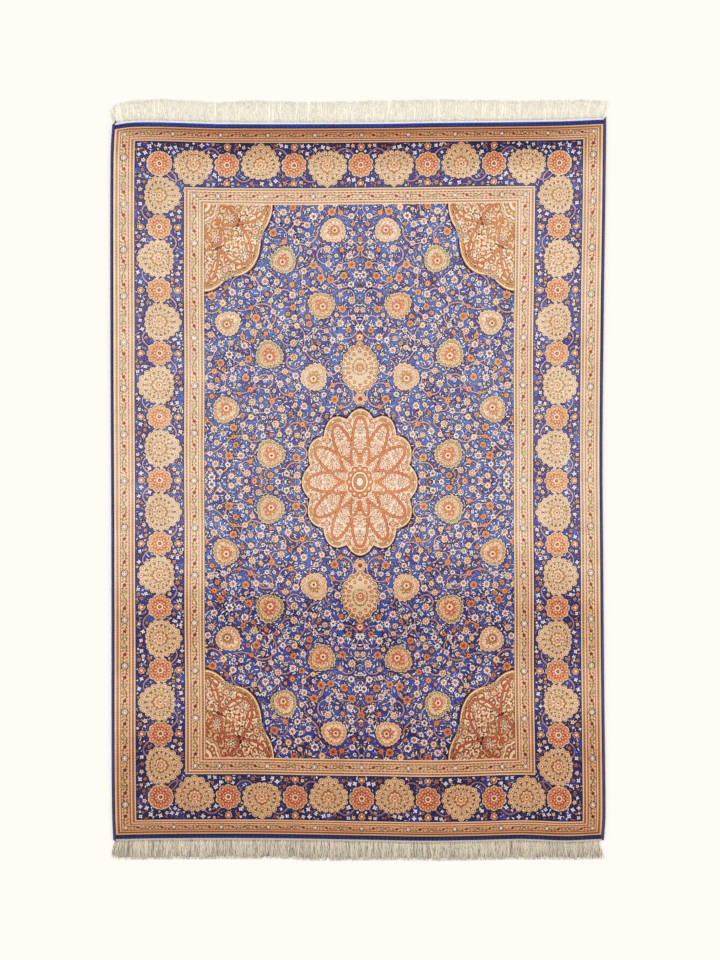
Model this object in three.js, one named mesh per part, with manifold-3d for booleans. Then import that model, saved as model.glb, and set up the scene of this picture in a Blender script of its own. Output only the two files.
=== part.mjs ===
// Hand-knotted silk carpet, lying flat on a floor.
// One slab of knotted pile on its foundation, an overcast cord down each side, a corded blue band
// across each end and, beyond each band, the warp ends as a fringe on its narrow woven strip.
// Millimetres. +X runs across the width, +Y along the length to the head end, +Z up from the floor.

import * as THREE from 'three';
import { mergeVertices } from 'three/addons/utils/BufferGeometryUtils.js';
import Module from 'manifold-3d';

// Outline of the woven carpet, to the outside of the side cords and of the end bands
const HALF_WIDTH = 625;
const HALF_LENGTH = 910;

// Clear space between two pieces that touch on the real carpet
const GAP = 0.3;

// Pile and foundation
const CARPET_THICKNESS = 5;
const PILE_EDGE_ROUND = 1.6;
const PILE_EDGE_STEPS = 2;
const SIDE_STEPS = 28;
const END_STEPS = 30;

// Side cords, wrapped round the outermost warps
const CORD_WIDTH = 6.5;
const CORD_HEIGHT = 5;
const CORD_ARC_POINTS = 7;
const CORD_END_REACH = 4;

// End bands, two blue cords woven side by side
const BAND_WIDTH = 9.5;
const BAND_HEIGHT = 4.4;
const BAND_GROOVE_HEIGHT = 2.9;

// Fringe
const STRIP_WIDTH = 5;
const STRIP_HEIGHT = 2.6;
const LOCKS_PER_END = 148;
const LOCK_ROOT_DEPTH = 1.5;
const LOCK_ROOT = { width: 6.6, height: 2.2 };
const LOCK_MIDDLE = { width: 6.8, height: 2.9 };
const LOCK_TIP = { width: 4.6, height: 1.6 };
const LOCK_TOP_SHARE = 0.55;
const LOCK_MIDDLE_SHARE = 0.55;
const LOCK_LENGTH_SPREAD = 1.6;
const LOCK_LEAN_SPREAD = 0.5;

// How far each edge of the carpet lies outside its nominal line, by the place along that line.
// The right side draws in at mid-length and both ends wander, as they do on a hand loom.
const LEFT_SIDE = [
  { at: -905, out: -4 },
  { at: -850, out: -1.5 },
  { at: -695, out: 0 },
  { at: -390, out: 0.2 },
  { at: -85, out: 0.8 },
  { at: 300, out: 2.8 },
  { at: 830, out: 2.6 },
  { at: 910, out: -2 },
];
const RIGHT_SIDE = [
  { at: -905, out: 2 },
  { at: -850, out: 5.6 },
  { at: -540, out: 2.5 },
  { at: -240, out: 0.1 },
  { at: 70, out: -2.1 },
  { at: 450, out: 1.4 },
  { at: 680, out: 4.7 },
  { at: 900, out: 7.4 },
];
const HEAD_END = [
  { at: -620, out: -5 },
  { at: -585, out: 1 },
  { at: -530, out: 3 },
  { at: -430, out: 0.5 },
  { at: -350, out: -2 },
  { at: 50, out: -1.5 },
  { at: 200, out: 1 },
  { at: 400, out: 3 },
  { at: 530, out: 5.5 },
  { at: 620, out: 9.5 },
];
const FOOT_END = [
  { at: -620, out: -1 },
  { at: -500, out: -3.5 },
  { at: -250, out: -4 },
  { at: 50, out: 0.6 },
  { at: 170, out: 3 },
  { at: 320, out: 0.6 },
  { at: 420, out: -2 },
  { at: 530, out: 2 },
  { at: 620, out: -2 },
];

// Fringe by the place across the carpet: reach is from the band's edge to the tips,
// lean is how far sideways a tip lies from its root, positive to the right.
const HEAD_FRINGE = [
  { at: -620, reach: 44, lean: -8 },
  { at: -600, reach: 55, lean: -4 },
  { at: -500, reach: 61, lean: 0 },
  { at: -360, reach: 57, lean: 1 },
  { at: -270, reach: 62, lean: 1 },
  { at: -130, reach: 58, lean: 3 },
  { at: 160, reach: 62, lean: 2 },
  { at: 400, reach: 56, lean: 4 },
  { at: 560, reach: 55, lean: 8 },
  { at: 620, reach: 49, lean: 14 },
];
const FOOT_FRINGE = [
  { at: -620, reach: 45, lean: -8 },
  { at: -600, reach: 53, lean: -3 },
  { at: -380, reach: 55, lean: 0 },
  { at: -200, reach: 53, lean: 1 },
  { at: -120, reach: 57, lean: 1 },
  { at: 110, reach: 51, lean: 0 },
  { at: 420, reach: 53, lean: 0 },
  { at: 520, reach: 50, lean: 1 },
  { at: 620, reach: 53, lean: 5 },
];

const MATERIALS = {
  pile: new THREE.MeshStandardMaterial({ color: '#9a8088', roughness: 0.55, metalness: 0 }),
  blueCord: new THREE.MeshStandardMaterial({ color: '#232a66', roughness: 0.5, metalness: 0 }),
  headFringe: new THREE.MeshStandardMaterial({ color: '#f3ecdc', roughness: 0.7, metalness: 0 }),
  footFringe: new THREE.MeshStandardMaterial({ color: '#c9c0aa', roughness: 0.7, metalness: 0 }),
};

// Value of one column of a table at a place: a cubic through the rows, whose slope at a row
// is that of the line between its neighbours. Past the ends it keeps the end row's value.
function tableValue(table, column, at) {
  const last = table.length - 1;
  const place = THREE.MathUtils.clamp(at, table[0].at, table[last].at);
  const next = THREE.MathUtils.clamp(table.findIndex((row) => row.at > place), 1, last);
  const i = at >= table[last].at ? last : next;
  const slopeAt = (k) => {
    const before = table[Math.max(k - 1, 0)];
    const after = table[Math.min(k + 1, last)];
    return (after[column] - before[column]) / (after.at - before.at);
  };
  const from = table[i - 1];
  const to = table[i];
  const span = to.at - from.at;
  const t = (place - from.at) / span;
  const riseFrom = (1 + 2 * t) * (1 - t) ** 2;
  const riseTo = t ** 2 * (3 - 2 * t);
  const bendFrom = t * (1 - t) ** 2 * span;
  const bendTo = t ** 2 * (t - 1) * span;
  return riseFrom * from[column] + riseTo * to[column] + bendFrom * slopeAt(i - 1) + bendTo * slopeAt(i);
}

const LEFT = { sign: -1, edge: (y) => -HALF_WIDTH - tableValue(LEFT_SIDE, 'out', y) };
const RIGHT = { sign: 1, edge: (y) => HALF_WIDTH + tableValue(RIGHT_SIDE, 'out', y) };
const HEAD = { sign: 1, edge: (x) => HALF_LENGTH + tableValue(HEAD_END, 'out', x), fringe: HEAD_FRINGE };
const FOOT = { sign: -1, edge: (x) => -HALF_LENGTH - tableValue(FOOT_END, 'out', x), fringe: FOOT_FRINGE };

// Where a line inside a side meets a line inside an end
function cornerPoint(side, end, sideInset, endInset) {
  const corner = new THREE.Vector2(side.edge(end.sign * HALF_LENGTH), 0);
  for (let pass = 0; pass < 3; pass += 1) {
    corner.y = end.edge(corner.x) - end.sign * endInset;
    corner.x = side.edge(corner.y) - side.sign * sideInset;
  }
  return corner;
}

// Six times the volume that the triangles enclose, positive when they face outwards
function enclosedVolume(positions, faces) {
  const corner = (index) => new THREE.Vector3().fromArray(positions, 3 * index);
  let total = 0;
  for (let f = 0; f < faces.length; f += 3) {
    total += corner(faces[f]).dot(corner(faces[f + 1]).cross(corner(faces[f + 2])));
  }
  return total;
}

// One closed skin over a row of rings. Neighbouring rings are joined by quads,
// and the first and last ring are closed by caps cut from the ring's flat profile.
function loft(rings, profile) {
  const count = profile.length;
  const positions = rings.flat().flatMap((point) => point.toArray());
  const faces = [];
  for (let ring = 0; ring + 1 < rings.length; ring += 1) {
    for (let i = 0; i < count; i += 1) {
      const a = ring * count + i;
      const b = ring * count + ((i + 1) % count);
      faces.push(a, b, b + count, a, b + count, a + count);
    }
  }
  const lastRing = (rings.length - 1) * count;
  for (const [a, b, c] of THREE.ShapeUtils.triangulateShape(profile, [])) {
    faces.push(a, c, b, lastRing + a, lastRing + b, lastRing + c);
  }
  if (enclosedVolume(positions, faces) < 0) {
    faces.reverse();
  }
  const geometry = new THREE.BufferGeometry();
  geometry.setAttribute('position', new THREE.Float32BufferAttribute(positions, 3));
  geometry.setIndex(faces);
  return geometry;
}

// Even places from one value to another, both ends included
function evenSteps(from, to, steps) {
  return Array.from({ length: steps + 1 }, (_, i) => THREE.MathUtils.lerp(from, to, i / steps));
}

// Places from one value to another, closer together near both, where the carpet's edges turn most
function cornerSteps(from, to, steps) {
  const shares = evenSteps(0, Math.PI, steps).map((angle) => (1 - Math.cos(angle)) / 2);
  return shares.map((share) => THREE.MathUtils.lerp(from, to, share));
}

// Outline of the pile at one height, anticlockwise from the foot end's left corner
function carpetRing(inset, height) {
  const sideInset = CORD_WIDTH + GAP + inset;
  const endInset = BAND_WIDTH + GAP + inset;
  const ring = [];
  const addEnd = (end, fromSide, toSide) => {
    const from = cornerPoint(fromSide, end, sideInset, endInset).x;
    const to = cornerPoint(toSide, end, sideInset, endInset).x;
    for (const x of cornerSteps(from, to, END_STEPS).slice(0, -1)) {
      ring.push(new THREE.Vector3(x, end.edge(x) - end.sign * endInset, height));
    }
  };
  const addSide = (side, fromEnd, toEnd) => {
    const from = cornerPoint(side, fromEnd, sideInset, endInset).y;
    const to = cornerPoint(side, toEnd, sideInset, endInset).y;
    for (const y of cornerSteps(from, to, SIDE_STEPS).slice(0, -1)) {
      ring.push(new THREE.Vector3(side.edge(y) - side.sign * sideInset, y, height));
    }
  };
  addEnd(FOOT, LEFT, RIGHT);
  addSide(RIGHT, FOOT, HEAD);
  addEnd(HEAD, RIGHT, LEFT);
  addSide(LEFT, HEAD, FOOT);
  return ring;
}

// The slab stands straight on the floor and its upper edge is rounded off, as clipped pile is
function carpetSlab() {
  const rings = [carpetRing(0, 0)];
  for (let step = 0; step <= PILE_EDGE_STEPS; step += 1) {
    const angle = (Math.PI / 2) * (step / PILE_EDGE_STEPS);
    const inset = PILE_EDGE_ROUND * (1 - Math.cos(angle));
    const height = CARPET_THICKNESS - PILE_EDGE_ROUND * (1 - Math.sin(angle));
    rings.push(carpetRing(inset, height));
  }
  const profile = rings[0].map((point) => new THREE.Vector2(point.x, point.y));
  return loft(rings, profile);
}

// Section of a side cord: flat on the floor, half an ellipse above
function cordProfile() {
  const flatHalf = 0.32 * CORD_WIDTH;
  const middle = CORD_HEIGHT * 0.42;
  const profile = [new THREE.Vector2(-flatHalf, 0), new THREE.Vector2(flatHalf, 0)];
  for (const angle of evenSteps(0, Math.PI, CORD_ARC_POINTS - 1)) {
    const across = (CORD_WIDTH / 2) * Math.cos(angle);
    const up = middle + (CORD_HEIGHT - middle) * Math.sin(angle);
    profile.push(new THREE.Vector2(across, up));
  }
  return profile;
}

// A side cord follows its edge from end to end and tapers off just past the end bands
function sideCord(side) {
  const profile = cordProfile();
  const centreX = (y) => side.edge(y) - side.sign * (CORD_WIDTH / 2);
  const footY = cornerPoint(side, FOOT, CORD_WIDTH / 2, 0).y;
  const headY = cornerPoint(side, HEAD, CORD_WIDTH / 2, 0).y;
  const stations = [
    { y: footY - CORD_END_REACH, size: 0.45 },
    { y: footY - CORD_END_REACH / 2, size: 0.8 },
    ...cornerSteps(footY, headY, SIDE_STEPS).map((y) => ({ y, size: 1 })),
    { y: headY + CORD_END_REACH / 2, size: 0.8 },
    { y: headY + CORD_END_REACH, size: 0.45 },
  ];
  const rings = stations.map(({ y, size }) =>
    profile.map((point) => new THREE.Vector3(centreX(y) - size * point.x, y, size * point.y)),
  );
  return loft(rings, profile);
}

// A strip along one end, between the side cords.
// The profile's x is measured outwards from a line inset from the end's edge.
function stripAlongEnd(end, inset, width, profile) {
  const clear = CORD_WIDTH + GAP;
  const innerAndOuter = [inset, inset - width];
  const from = Math.max(...innerAndOuter.map((line) => cornerPoint(LEFT, end, clear, line).x));
  const to = Math.min(...innerAndOuter.map((line) => cornerPoint(RIGHT, end, clear, line).x));
  const rings = cornerSteps(from, to, END_STEPS).map((x) => {
    const line = end.edge(x) - end.sign * inset;
    return profile.map((point) => new THREE.Vector3(x, line + end.sign * point.x, point.y));
  });
  return loft(rings, profile);
}

// Section of an end band: two round cords side by side with a groove between them
function bandProfile() {
  const cord = BAND_WIDTH / 2;
  const shoulder = BAND_HEIGHT * 0.55;
  return [
    [0, 0],
    [BAND_WIDTH, 0],
    [BAND_WIDTH, shoulder],
    [1.7 * cord, BAND_HEIGHT],
    [1.3 * cord, BAND_HEIGHT],
    [cord, BAND_GROOVE_HEIGHT],
    [0.7 * cord, BAND_HEIGHT],
    [0.3 * cord, BAND_HEIGHT],
    [0, shoulder],
  ].map(([across, up]) => new THREE.Vector2(across, up));
}

function endBand(end) {
  return stripAlongEnd(end, BAND_WIDTH, BAND_WIDTH, bandProfile());
}

// Section of the woven strip that the fringe hangs from, upright on the side of the locks
function stripProfile() {
  const chamfer = STRIP_HEIGHT * 0.35;
  return [
    [0, 0],
    [STRIP_WIDTH, 0],
    [STRIP_WIDTH, STRIP_HEIGHT],
    [chamfer, STRIP_HEIGHT],
    [0, STRIP_HEIGHT - chamfer],
  ].map(([across, up]) => new THREE.Vector2(across, up));
}

// Repeatable scatter between -1 and 1, so that every build gives the same fringe
function scatter(seed) {
  const wave = Math.sin(seed * 127.1 + 11.7) * 43758.5453;
  return 2 * (wave - Math.floor(wave)) - 1;
}

// One lock of warp ends: four-sided, flat on the floor from root to tip, narrower and lower at the tip
function fringeLock(end, rootX, index) {
  const reach = tableValue(end.fringe, 'reach', rootX) + LOCK_LENGTH_SPREAD * scatter(index + 0.5);
  const lean = tableValue(end.fringe, 'lean', rootX) + LOCK_LEAN_SPREAD * scatter(index + 0.25);
  const rootOut = GAP + STRIP_WIDTH - LOCK_ROOT_DEPTH;
  const stations = [
    { share: 0, ...LOCK_ROOT },
    { share: LOCK_MIDDLE_SHARE, ...LOCK_MIDDLE },
    { share: 1, ...LOCK_TIP },
  ];
  const rings = stations.map(({ share, width, height }) => {
    const x = rootX + lean * share ** 1.5;
    const y = end.edge(rootX) + end.sign * THREE.MathUtils.lerp(rootOut, reach, share);
    const half = width / 2;
    const topHalf = half * LOCK_TOP_SHARE;
    return [
      new THREE.Vector3(x - half, y, 0),
      new THREE.Vector3(x + half, y, 0),
      new THREE.Vector3(x + topHalf, y, height),
      new THREE.Vector3(x - topHalf, y, height),
    ];
  });
  const profile = rings[0].map((point) => new THREE.Vector2(point.x, point.z));
  return loft(rings, profile);
}

const solids = await Module();
solids.setup();

// Joins closed skins into one
function fuse(geometries) {
  const whole = geometries
    .map((geometry) => {
      const merged = mergeVertices(geometry);
      return new solids.Manifold(new solids.Mesh({
        numProp: 3,
        vertProperties: new Float32Array(merged.attributes.position.array),
        triVerts: new Uint32Array(merged.index.array),
      }));
    })
    .reduce((sum, solid) => sum.add(solid));
  const mesh = whole.getMesh();
  const geometry = new THREE.BufferGeometry();
  geometry.setAttribute('position', new THREE.BufferAttribute(mesh.vertProperties, 3));
  geometry.setIndex(new THREE.BufferAttribute(mesh.triVerts, 1));
  return geometry;
}

// The woven strip with its locks, which stand apart from each other beyond it
function fringe(end) {
  const strip = stripAlongEnd(end, -GAP, STRIP_WIDTH, stripProfile());
  const clear = CORD_WIDTH + GAP + LOCK_ROOT.width / 2;
  const from = cornerPoint(LEFT, end, clear, -GAP).x;
  const to = cornerPoint(RIGHT, end, clear, -GAP).x;
  const locks = evenSteps(from, to, LOCKS_PER_END - 1).map((x, index) => fringeLock(end, x, index));
  return fuse([strip, ...locks]);
}

const PIECES = [
  { name: 'carpet', geometry: carpetSlab(), material: MATERIALS.pile },
  { name: 'side_cord_left', geometry: sideCord(LEFT), material: MATERIALS.blueCord },
  { name: 'side_cord_right', geometry: sideCord(RIGHT), material: MATERIALS.blueCord },
  { name: 'end_band_head', geometry: endBand(HEAD), material: MATERIALS.blueCord },
  { name: 'end_band_foot', geometry: endBand(FOOT), material: MATERIALS.blueCord },
  { name: 'fringe_head', geometry: fringe(HEAD), material: MATERIALS.headFringe },
  { name: 'fringe_foot', geometry: fringe(FOOT), material: MATERIALS.footFringe },
];

const carpet = new THREE.Group();
for (const { name, geometry, material } of PIECES) {
  geometry.computeVertexNormals();
  const mesh = new THREE.Mesh(geometry, material);
  mesh.name = name;
  carpet.add(mesh);
}

// The origin is on the floor under the middle of the whole outline, fringe included
const middle = new THREE.Box3().setFromObject(carpet).getCenter(new THREE.Vector3());
carpet.position.set(-middle.x, -middle.y, 0);

export default carpet;
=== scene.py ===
"""A hand-knotted silk carpet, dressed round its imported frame.

The pattern is drawn as a knotter's cartoon: one quarter of the carpet as a plan of yarns, a cell for each
knot, turned over to the other three quarters as knotters do. The pile is that plan laid out between the real
edges of the carpet. Sizes in the cartoon are millimetres, all else is metres in the frame's own axes.
"""

import bpy
import numpy as np
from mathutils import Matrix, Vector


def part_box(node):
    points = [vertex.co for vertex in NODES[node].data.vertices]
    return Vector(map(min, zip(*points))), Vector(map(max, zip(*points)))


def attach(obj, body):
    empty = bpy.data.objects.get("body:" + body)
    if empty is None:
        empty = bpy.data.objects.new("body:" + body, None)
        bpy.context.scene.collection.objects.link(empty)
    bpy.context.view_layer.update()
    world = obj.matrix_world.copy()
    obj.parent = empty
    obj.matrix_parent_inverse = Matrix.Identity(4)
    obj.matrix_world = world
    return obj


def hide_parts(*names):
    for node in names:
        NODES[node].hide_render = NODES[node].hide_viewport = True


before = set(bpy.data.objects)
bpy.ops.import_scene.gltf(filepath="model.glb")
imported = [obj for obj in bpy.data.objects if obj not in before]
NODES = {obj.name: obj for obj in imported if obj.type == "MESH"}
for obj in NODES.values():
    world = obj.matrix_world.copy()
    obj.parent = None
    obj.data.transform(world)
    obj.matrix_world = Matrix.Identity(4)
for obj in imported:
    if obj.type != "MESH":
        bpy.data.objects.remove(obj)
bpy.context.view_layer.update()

bl_info = {
    "name": "Hand-knotted silk carpet",
    "version": (1, 0, 0),
    "blender": (4, 5, 0),
    "location": "3D View > Sidebar > Carpet",
    "description": "Knots the pile of a medallion carpet and makes its cords, bands and fringes",
    "category": "Add Mesh",
}

MM = 0.001
HALF_TURN = np.pi

# Silk yarns of the pile, in the order of their numbers in the cartoon
YARNS = {
    "royal": ("Royal blue", "Brighter part of the ground", "#5C76C4"),
    "violet": ("Violet blue", "Duller part of the ground", "#6059A0"),
    "plum": ("Plum", "Outlines on the ground and dark lines of the guards", "#1E0E30"),
    "cream": ("Cream", "Medallion grounds, flowers, rims and light lines", "#FCE6CD"),
    "white": ("White", "Small flowers and leaf strokes", "#FCF4F8"),
    "gold": ("Gold", "Rims and bodies of the palmettes", "#D0A05C"),
    "blush": ("Blush", "Light lines of the guards", "#FBE0C8"),
    "straw": ("Straw", "Outer stripes of the guards", "#DDB78C"),
    "olive": ("Olive", "Green-gold shading in palmettes and guards", "#BDA566"),
    "orange": ("Orange", "Flower hearts and ribbons", "#E28C4C"),
    "rust": ("Rust", "Darker edge of the orange", "#B4643A"),
    "rose": ("Rose", "Inner stripes of the guards, stems and leaves", "#E0B092"),
    "peach": ("Peach", "Petals, and rims and bodies of palmettes", "#ECBD92"),
    "sand": ("Sand", "Ground of border palmettes and guard bands", "#F0D6B4"),
    "red": ("Red", "Flecks and buds", "#A8452F"),
    "brown": ("Brown", "Fine dashes and drawing lines", "#7C5038"),
    "mauve": ("Mauve", "Stems and leaves on the blue", "#CFAEBE"),
    "sage": ("Sage", "Dots on the medallion's cream, rings of guard rosettes", "#B0A888"),
}
(ROYAL, VIOLET, PLUM, CREAM, WHITE, GOLD, BLUSH, STRAW, OLIVE,
 ORANGE, RUST, ROSE, PEACH, SAND, RED, BROWN, MAUVE, SAGE) = range(len(YARNS))

# The cartoon's quarter and its stripes, from the outside in, in millimetres
HALF_WIDTH, HALF_LENGTH = 618.0, 900.0
SIDE_STRIPES = np.array([52.5, 122.5, 51.0])
END_STRIPES = np.array([37.5, 115.0, 43.0])
FIELD_WIDTH = HALF_WIDTH - SIDE_STRIPES.sum()
FIELD_LENGTH = HALF_LENGTH - END_STRIPES.sum()
KNOT = 1.5
SEED = 41


def linear(colour):
    """Linear colour of an sRGB hex value: c / 12.92 in the dark, else ((c + 0.055) / 1.055) to the 2.4."""
    parts = np.array([int(colour[i : i + 2], 16) for i in (1, 3, 5)]) / 255
    bright = ((parts + 0.055) / 1.055) ** 2.4
    return tuple(float(part) for part in np.where(parts <= 0.04045, parts / 12.92, bright))


def heading(angle):
    """The step of length 1 along an angle."""
    return np.array([np.cos(angle), np.sin(angle)])


def way_along(line):
    """Distance passed at each point of a line."""
    return np.append(0, np.hypot(*np.diff(line, axis=0).T).cumsum())


def read_off(table, at, column, by=0):
    """Values of one column of a table where another has the values asked for."""
    return np.interp(at, table[:, by], table[:, column])


def round_petals(count, depth):
    """Outline of round petals: 1 less depth times (1 less the size of cos(count * angle / 2))."""
    return lambda angle: 1 - depth * (1 - np.abs(np.cos(count * angle / 2)))


def pointed_petals(count, depth):
    """Outline of pointed petals: 1 less depth times the size of sin(count * angle / 2)."""
    return lambda angle: 1 - depth * np.abs(np.sin(count * angle / 2))


def palmette_outline(lobes, depth):
    """A fan that comes to a tip at angle 0 and is flat at its foot, with lobes all round."""

    def outline(angle):
        tip = 0.80 + 0.20 * np.clip(np.cos(angle), 0, 1) ** 5
        foot = 1 - 0.16 * np.clip(-np.cos(angle), 0, 1) ** 3
        return tip * foot * round_petals(lobes, depth)(angle)

    return outline


def oval(angle):
    """A plain round outline."""
    return np.ones_like(angle)


def ogee(angle):
    """A long pointed oval: 1 less 0.30 times the size of sin(angle)^0.7, plus fine cosine teeth."""
    return 1 - 0.30 * np.abs(np.sin(angle)) ** 0.7 + 0.035 * np.cos(14 * angle)


def spiral(centre, radius, turns, start, keep=0.22):
    """Points of a spiral: the angle runs evenly, the distance is radius * (1 - (1 - keep) * share^2)."""
    share = np.linspace(0, 1, max(int(abs(turns) * 2 * HALF_TURN * radius / (0.5 * KNOT)), 24))
    angle = start + turns * 2 * HALF_TURN * share
    away = radius * (1 - (1 - keep) * share**2)
    return np.asarray(centre) + np.stack([away * np.cos(angle), away * np.sin(angle)], 1)


class Cartoon:
    """The plan of one quarter: x from the middle line to the side, y from the middle line to the end."""

    def __init__(self):
        self.x = (np.arange(round(HALF_WIDTH / KNOT)) + 0.5) * KNOT
        self.y = (np.arange(round(HALF_LENGTH / KNOT)) + 0.5) * KNOT
        self.yarn = np.full((len(self.y), len(self.x)), ROYAL, np.uint8)
        self.taken = np.zeros(self.yarn.shape, bool)
        self.open = np.ones(self.yarn.shape, bool)

    def window(self, at, reach, turn=0.0, stretch=1.0):
        """The cells within reach of a point, and their distance and angle from it along the turn.
        Stretch lengthens what is drawn there across the turn."""
        wide = reach * max(stretch, 1) + 2 * KNOT
        columns = np.clip(np.array([at[0] - wide, at[0] + wide]) / KNOT + [0, 1], 0, len(self.x)).astype(int)
        rows = np.clip(np.array([at[1] - wide, at[1] + wide]) / KNOT + [0, 1], 0, len(self.y)).astype(int)
        area = (slice(*rows), slice(*columns))
        x, y = self.x[area[1]][None, :] - at[0], self.y[area[0]][:, None] - at[1]
        along, across = x * np.cos(turn) + y * np.sin(turn), (y * np.cos(turn) - x * np.sin(turn)) / stretch
        return area, np.hypot(along, across), np.arctan2(across, along)

    def paint(self, area, mask, yarn):
        """Fills the open cells of a mask with one yarn and marks them as taken."""
        mask = mask & self.open[area]
        self.yarn[area][mask] = yarn
        self.taken[area][mask] = True

    def edge(self, area, mask, yarn=PLUM):
        """Fills the cells of a mask that hold nothing yet, as the outline round a motif."""
        mask = mask & self.open[area] & ~self.taken[area]
        self.yarn[area][mask] = yarn

    def clear(self, at, reach):
        """Whether every cell within reach of a point is open and holds nothing."""
        area, away, _ = self.window(at, reach)
        near = away < reach
        return near.any() and not (self.taken[area] | ~self.open[area])[near].any()

    def motif(self, at, reach, outline, layers, turn=0.0, stretch=1.0, edge=PLUM):
        """Layers from the outside in, each where the distance is under its share of reach * outline."""
        area, away, angle = self.window(at, reach, turn, stretch)
        limit = reach * outline(angle)
        if edge is not None:
            self.edge(area, away < limit + 1.15 * KNOT, edge)
        for share, yarn in layers:
            self.paint(area, away < share * limit, yarn)

    def wreath(self, at, radius, count, petal, layers, turn=0.0, stretch=1.0, outline=oval, long=1.0):
        """Small petals evenly round a point, as far out as radius times outline.

        The cells are folded into one sector, where a petal is the oval of half width petal and half length
        petal * long.
        """
        area, away, angle = self.window(at, radius + petal * long, turn, stretch)
        sector = 2 * HALF_TURN / count
        fold = (angle + sector / 2) % sector - sector / 2
        ahead, aside = away * np.cos(fold) - radius * outline(angle), away * np.sin(fold)
        for share, yarn in layers:
            self.paint(area, np.hypot(ahead / long, aside) < share * petal, yarn)

    def leaf(self, at, length, width, turn, yarn, edge=PLUM):
        """A pointed leaf that bends a little, of half width width / 2 * (1 - (2 * along / length)^2)."""
        area, away, angle = self.window(at, length / 2, turn)
        along = away * np.cos(angle)
        bend = np.abs(away * np.sin(angle) - 0.12 * along**2 / length)
        half = width / 2 * (1 - (2 * along / length) ** 2)
        if edge is not None:
            self.edge(area, bend < half + 0.8 * KNOT, edge)
        self.paint(area, bend < half, yarn)

    def stroke(self, points, width, yarn, over=False, edge=None):
        """A line through points less than a knot apart. The width is one number, or one a point."""
        ahead = np.gradient(points, axis=0)
        left = np.stack([-ahead[:, 1], ahead[:, 0]], 1) / np.maximum(np.hypot(*ahead.T), 1e-9)[:, None]
        half = np.broadcast_to(np.asarray(width, float) / 2, len(points))[:, None]
        for reach, colour in ((half + KNOT, edge), (half, yarn)):
            if colour is None:
                continue
            offs = np.linspace(-1, 1, 2 * int(np.ceil(reach.max() / (0.6 * KNOT))) + 1)
            for off in offs if reach.max() > 0.5 * KNOT else (0.0,):
                column, row = np.floor((points + off * reach * left) / KNOT).astype(int).T
                inside = (column >= 0) & (column < len(self.x)) & (row >= 0) & (row < len(self.y))
                column, row = column[inside], row[inside]
                free = self.open[row, column] & (over | ~self.taken[row, column])
                self.yarn[row[free], column[free]] = colour
                if colour == yarn:
                    self.taken[row[free], column[free]] = True


# Ways to knot a flower: petal outline, then layers of share and yarn
FLOWERS = (
    (pointed_petals(11, 0.38), ((1.0, WHITE), (0.60, RUST), (0.54, ORANGE), (0.24, GOLD))),
    (pointed_petals(9, 0.34), ((1.0, CREAM), (0.66, RUST), (0.58, ORANGE), (0.26, CREAM))),
    (pointed_petals(10, 0.40), ((1.0, WHITE), (0.62, GOLD), (0.40, ORANGE))),
    (round_petals(8, 0.30), ((1.0, PEACH), (0.74, ORANGE), (0.34, RUST))),
    (round_petals(7, 0.40), ((1.0, WHITE), (0.62, GOLD), (0.30, BROWN))),
    (pointed_petals(9, 0.42), ((1.0, WHITE), (0.50, OLIVE), (0.26, BROWN))),
    (pointed_petals(8, 0.38), ((1.0, ORANGE), (0.62, PEACH), (0.30, RED))),
    (pointed_petals(12, 0.32), ((1.0, SAND), (0.70, CREAM), (0.42, ORANGE))),
)
STAR_FLOWERS = (
    (pointed_petals(4, 0.50), ((1.0, WHITE), (0.35, MAUVE))),
    (pointed_petals(5, 0.44), ((1.0, CREAM), (0.42, ORANGE))),
    (pointed_petals(6, 0.46), ((1.0, ORANGE), (0.40, CREAM))),
    (pointed_petals(6, 0.40), ((1.0, MAUVE), (0.50, WHITE))),
    (pointed_petals(5, 0.44), ((1.0, ROSE), (0.44, RUST))),
)


def large_palmette(plan, at, reach, turn, rim, body, heart):
    """Toothed cream rim round a coloured one, a body with a wreath of petals, and a flower as its heart."""
    shape = palmette_outline(19, 0.09)
    layers = ((1.0, CREAM), (0.95, rim), (0.78, RUST), (0.76, CREAM), (0.71, body))
    plan.motif(at, reach, shape, layers, turn)
    plan.wreath(at, 0.86 * reach, 22, 0.026 * reach, ((1.0, SAND),), turn, 1.0, shape, 1.8)
    plan.wreath(at, 0.63 * reach, 13, 0.066 * reach, ((1.0, RUST), (0.70, CREAM)), turn, 1.0, shape, 1.3)
    plan.motif(at, 0.52 * reach, palmette_outline(9, 0.2), ((1.0, RUST), (0.94, heart)), turn, 1.0, None)
    plan.wreath(at, 0.36 * reach, 9, 0.060 * reach, ((1.0, GOLD), (0.6, CREAM)), turn, 1.0, oval, 1.4)
    layers = ((1.0, RUST), (0.88, CREAM), (0.42, RED))
    plan.motif(at, 0.22 * reach, round_petals(6, 0.3), layers, turn, 1.0, None)


def grow_scrolls(chance, scrolls, reaches, inside, tries, crowd=0.92):
    """Adds circles that each touch an older one and turn against it, so that the line of the one runs on into
    the other as an S. A scroll is x, y, reach, start angle and hand."""
    scrolls = list(scrolls)
    for pick, way, size in chance.uniform(0, 1, (tries, 3)):
        x, y, reach, _, hand = scrolls[int(pick * len(scrolls))]
        own = reaches[0] + (reaches[1] - reaches[0]) * size
        angle = 2 * HALF_TURN * way
        at = np.array([x, y]) + (reach + own) * heading(angle)
        if inside(at, own):
            rows = np.array(scrolls)
            if (np.hypot(*(rows[:, :2] - at).T) > crowd * (rows[:, 2] + own)).all():
                scrolls.append((at[0], at[1], own, angle + HALF_TURN, -hand))
    return scrolls


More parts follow.
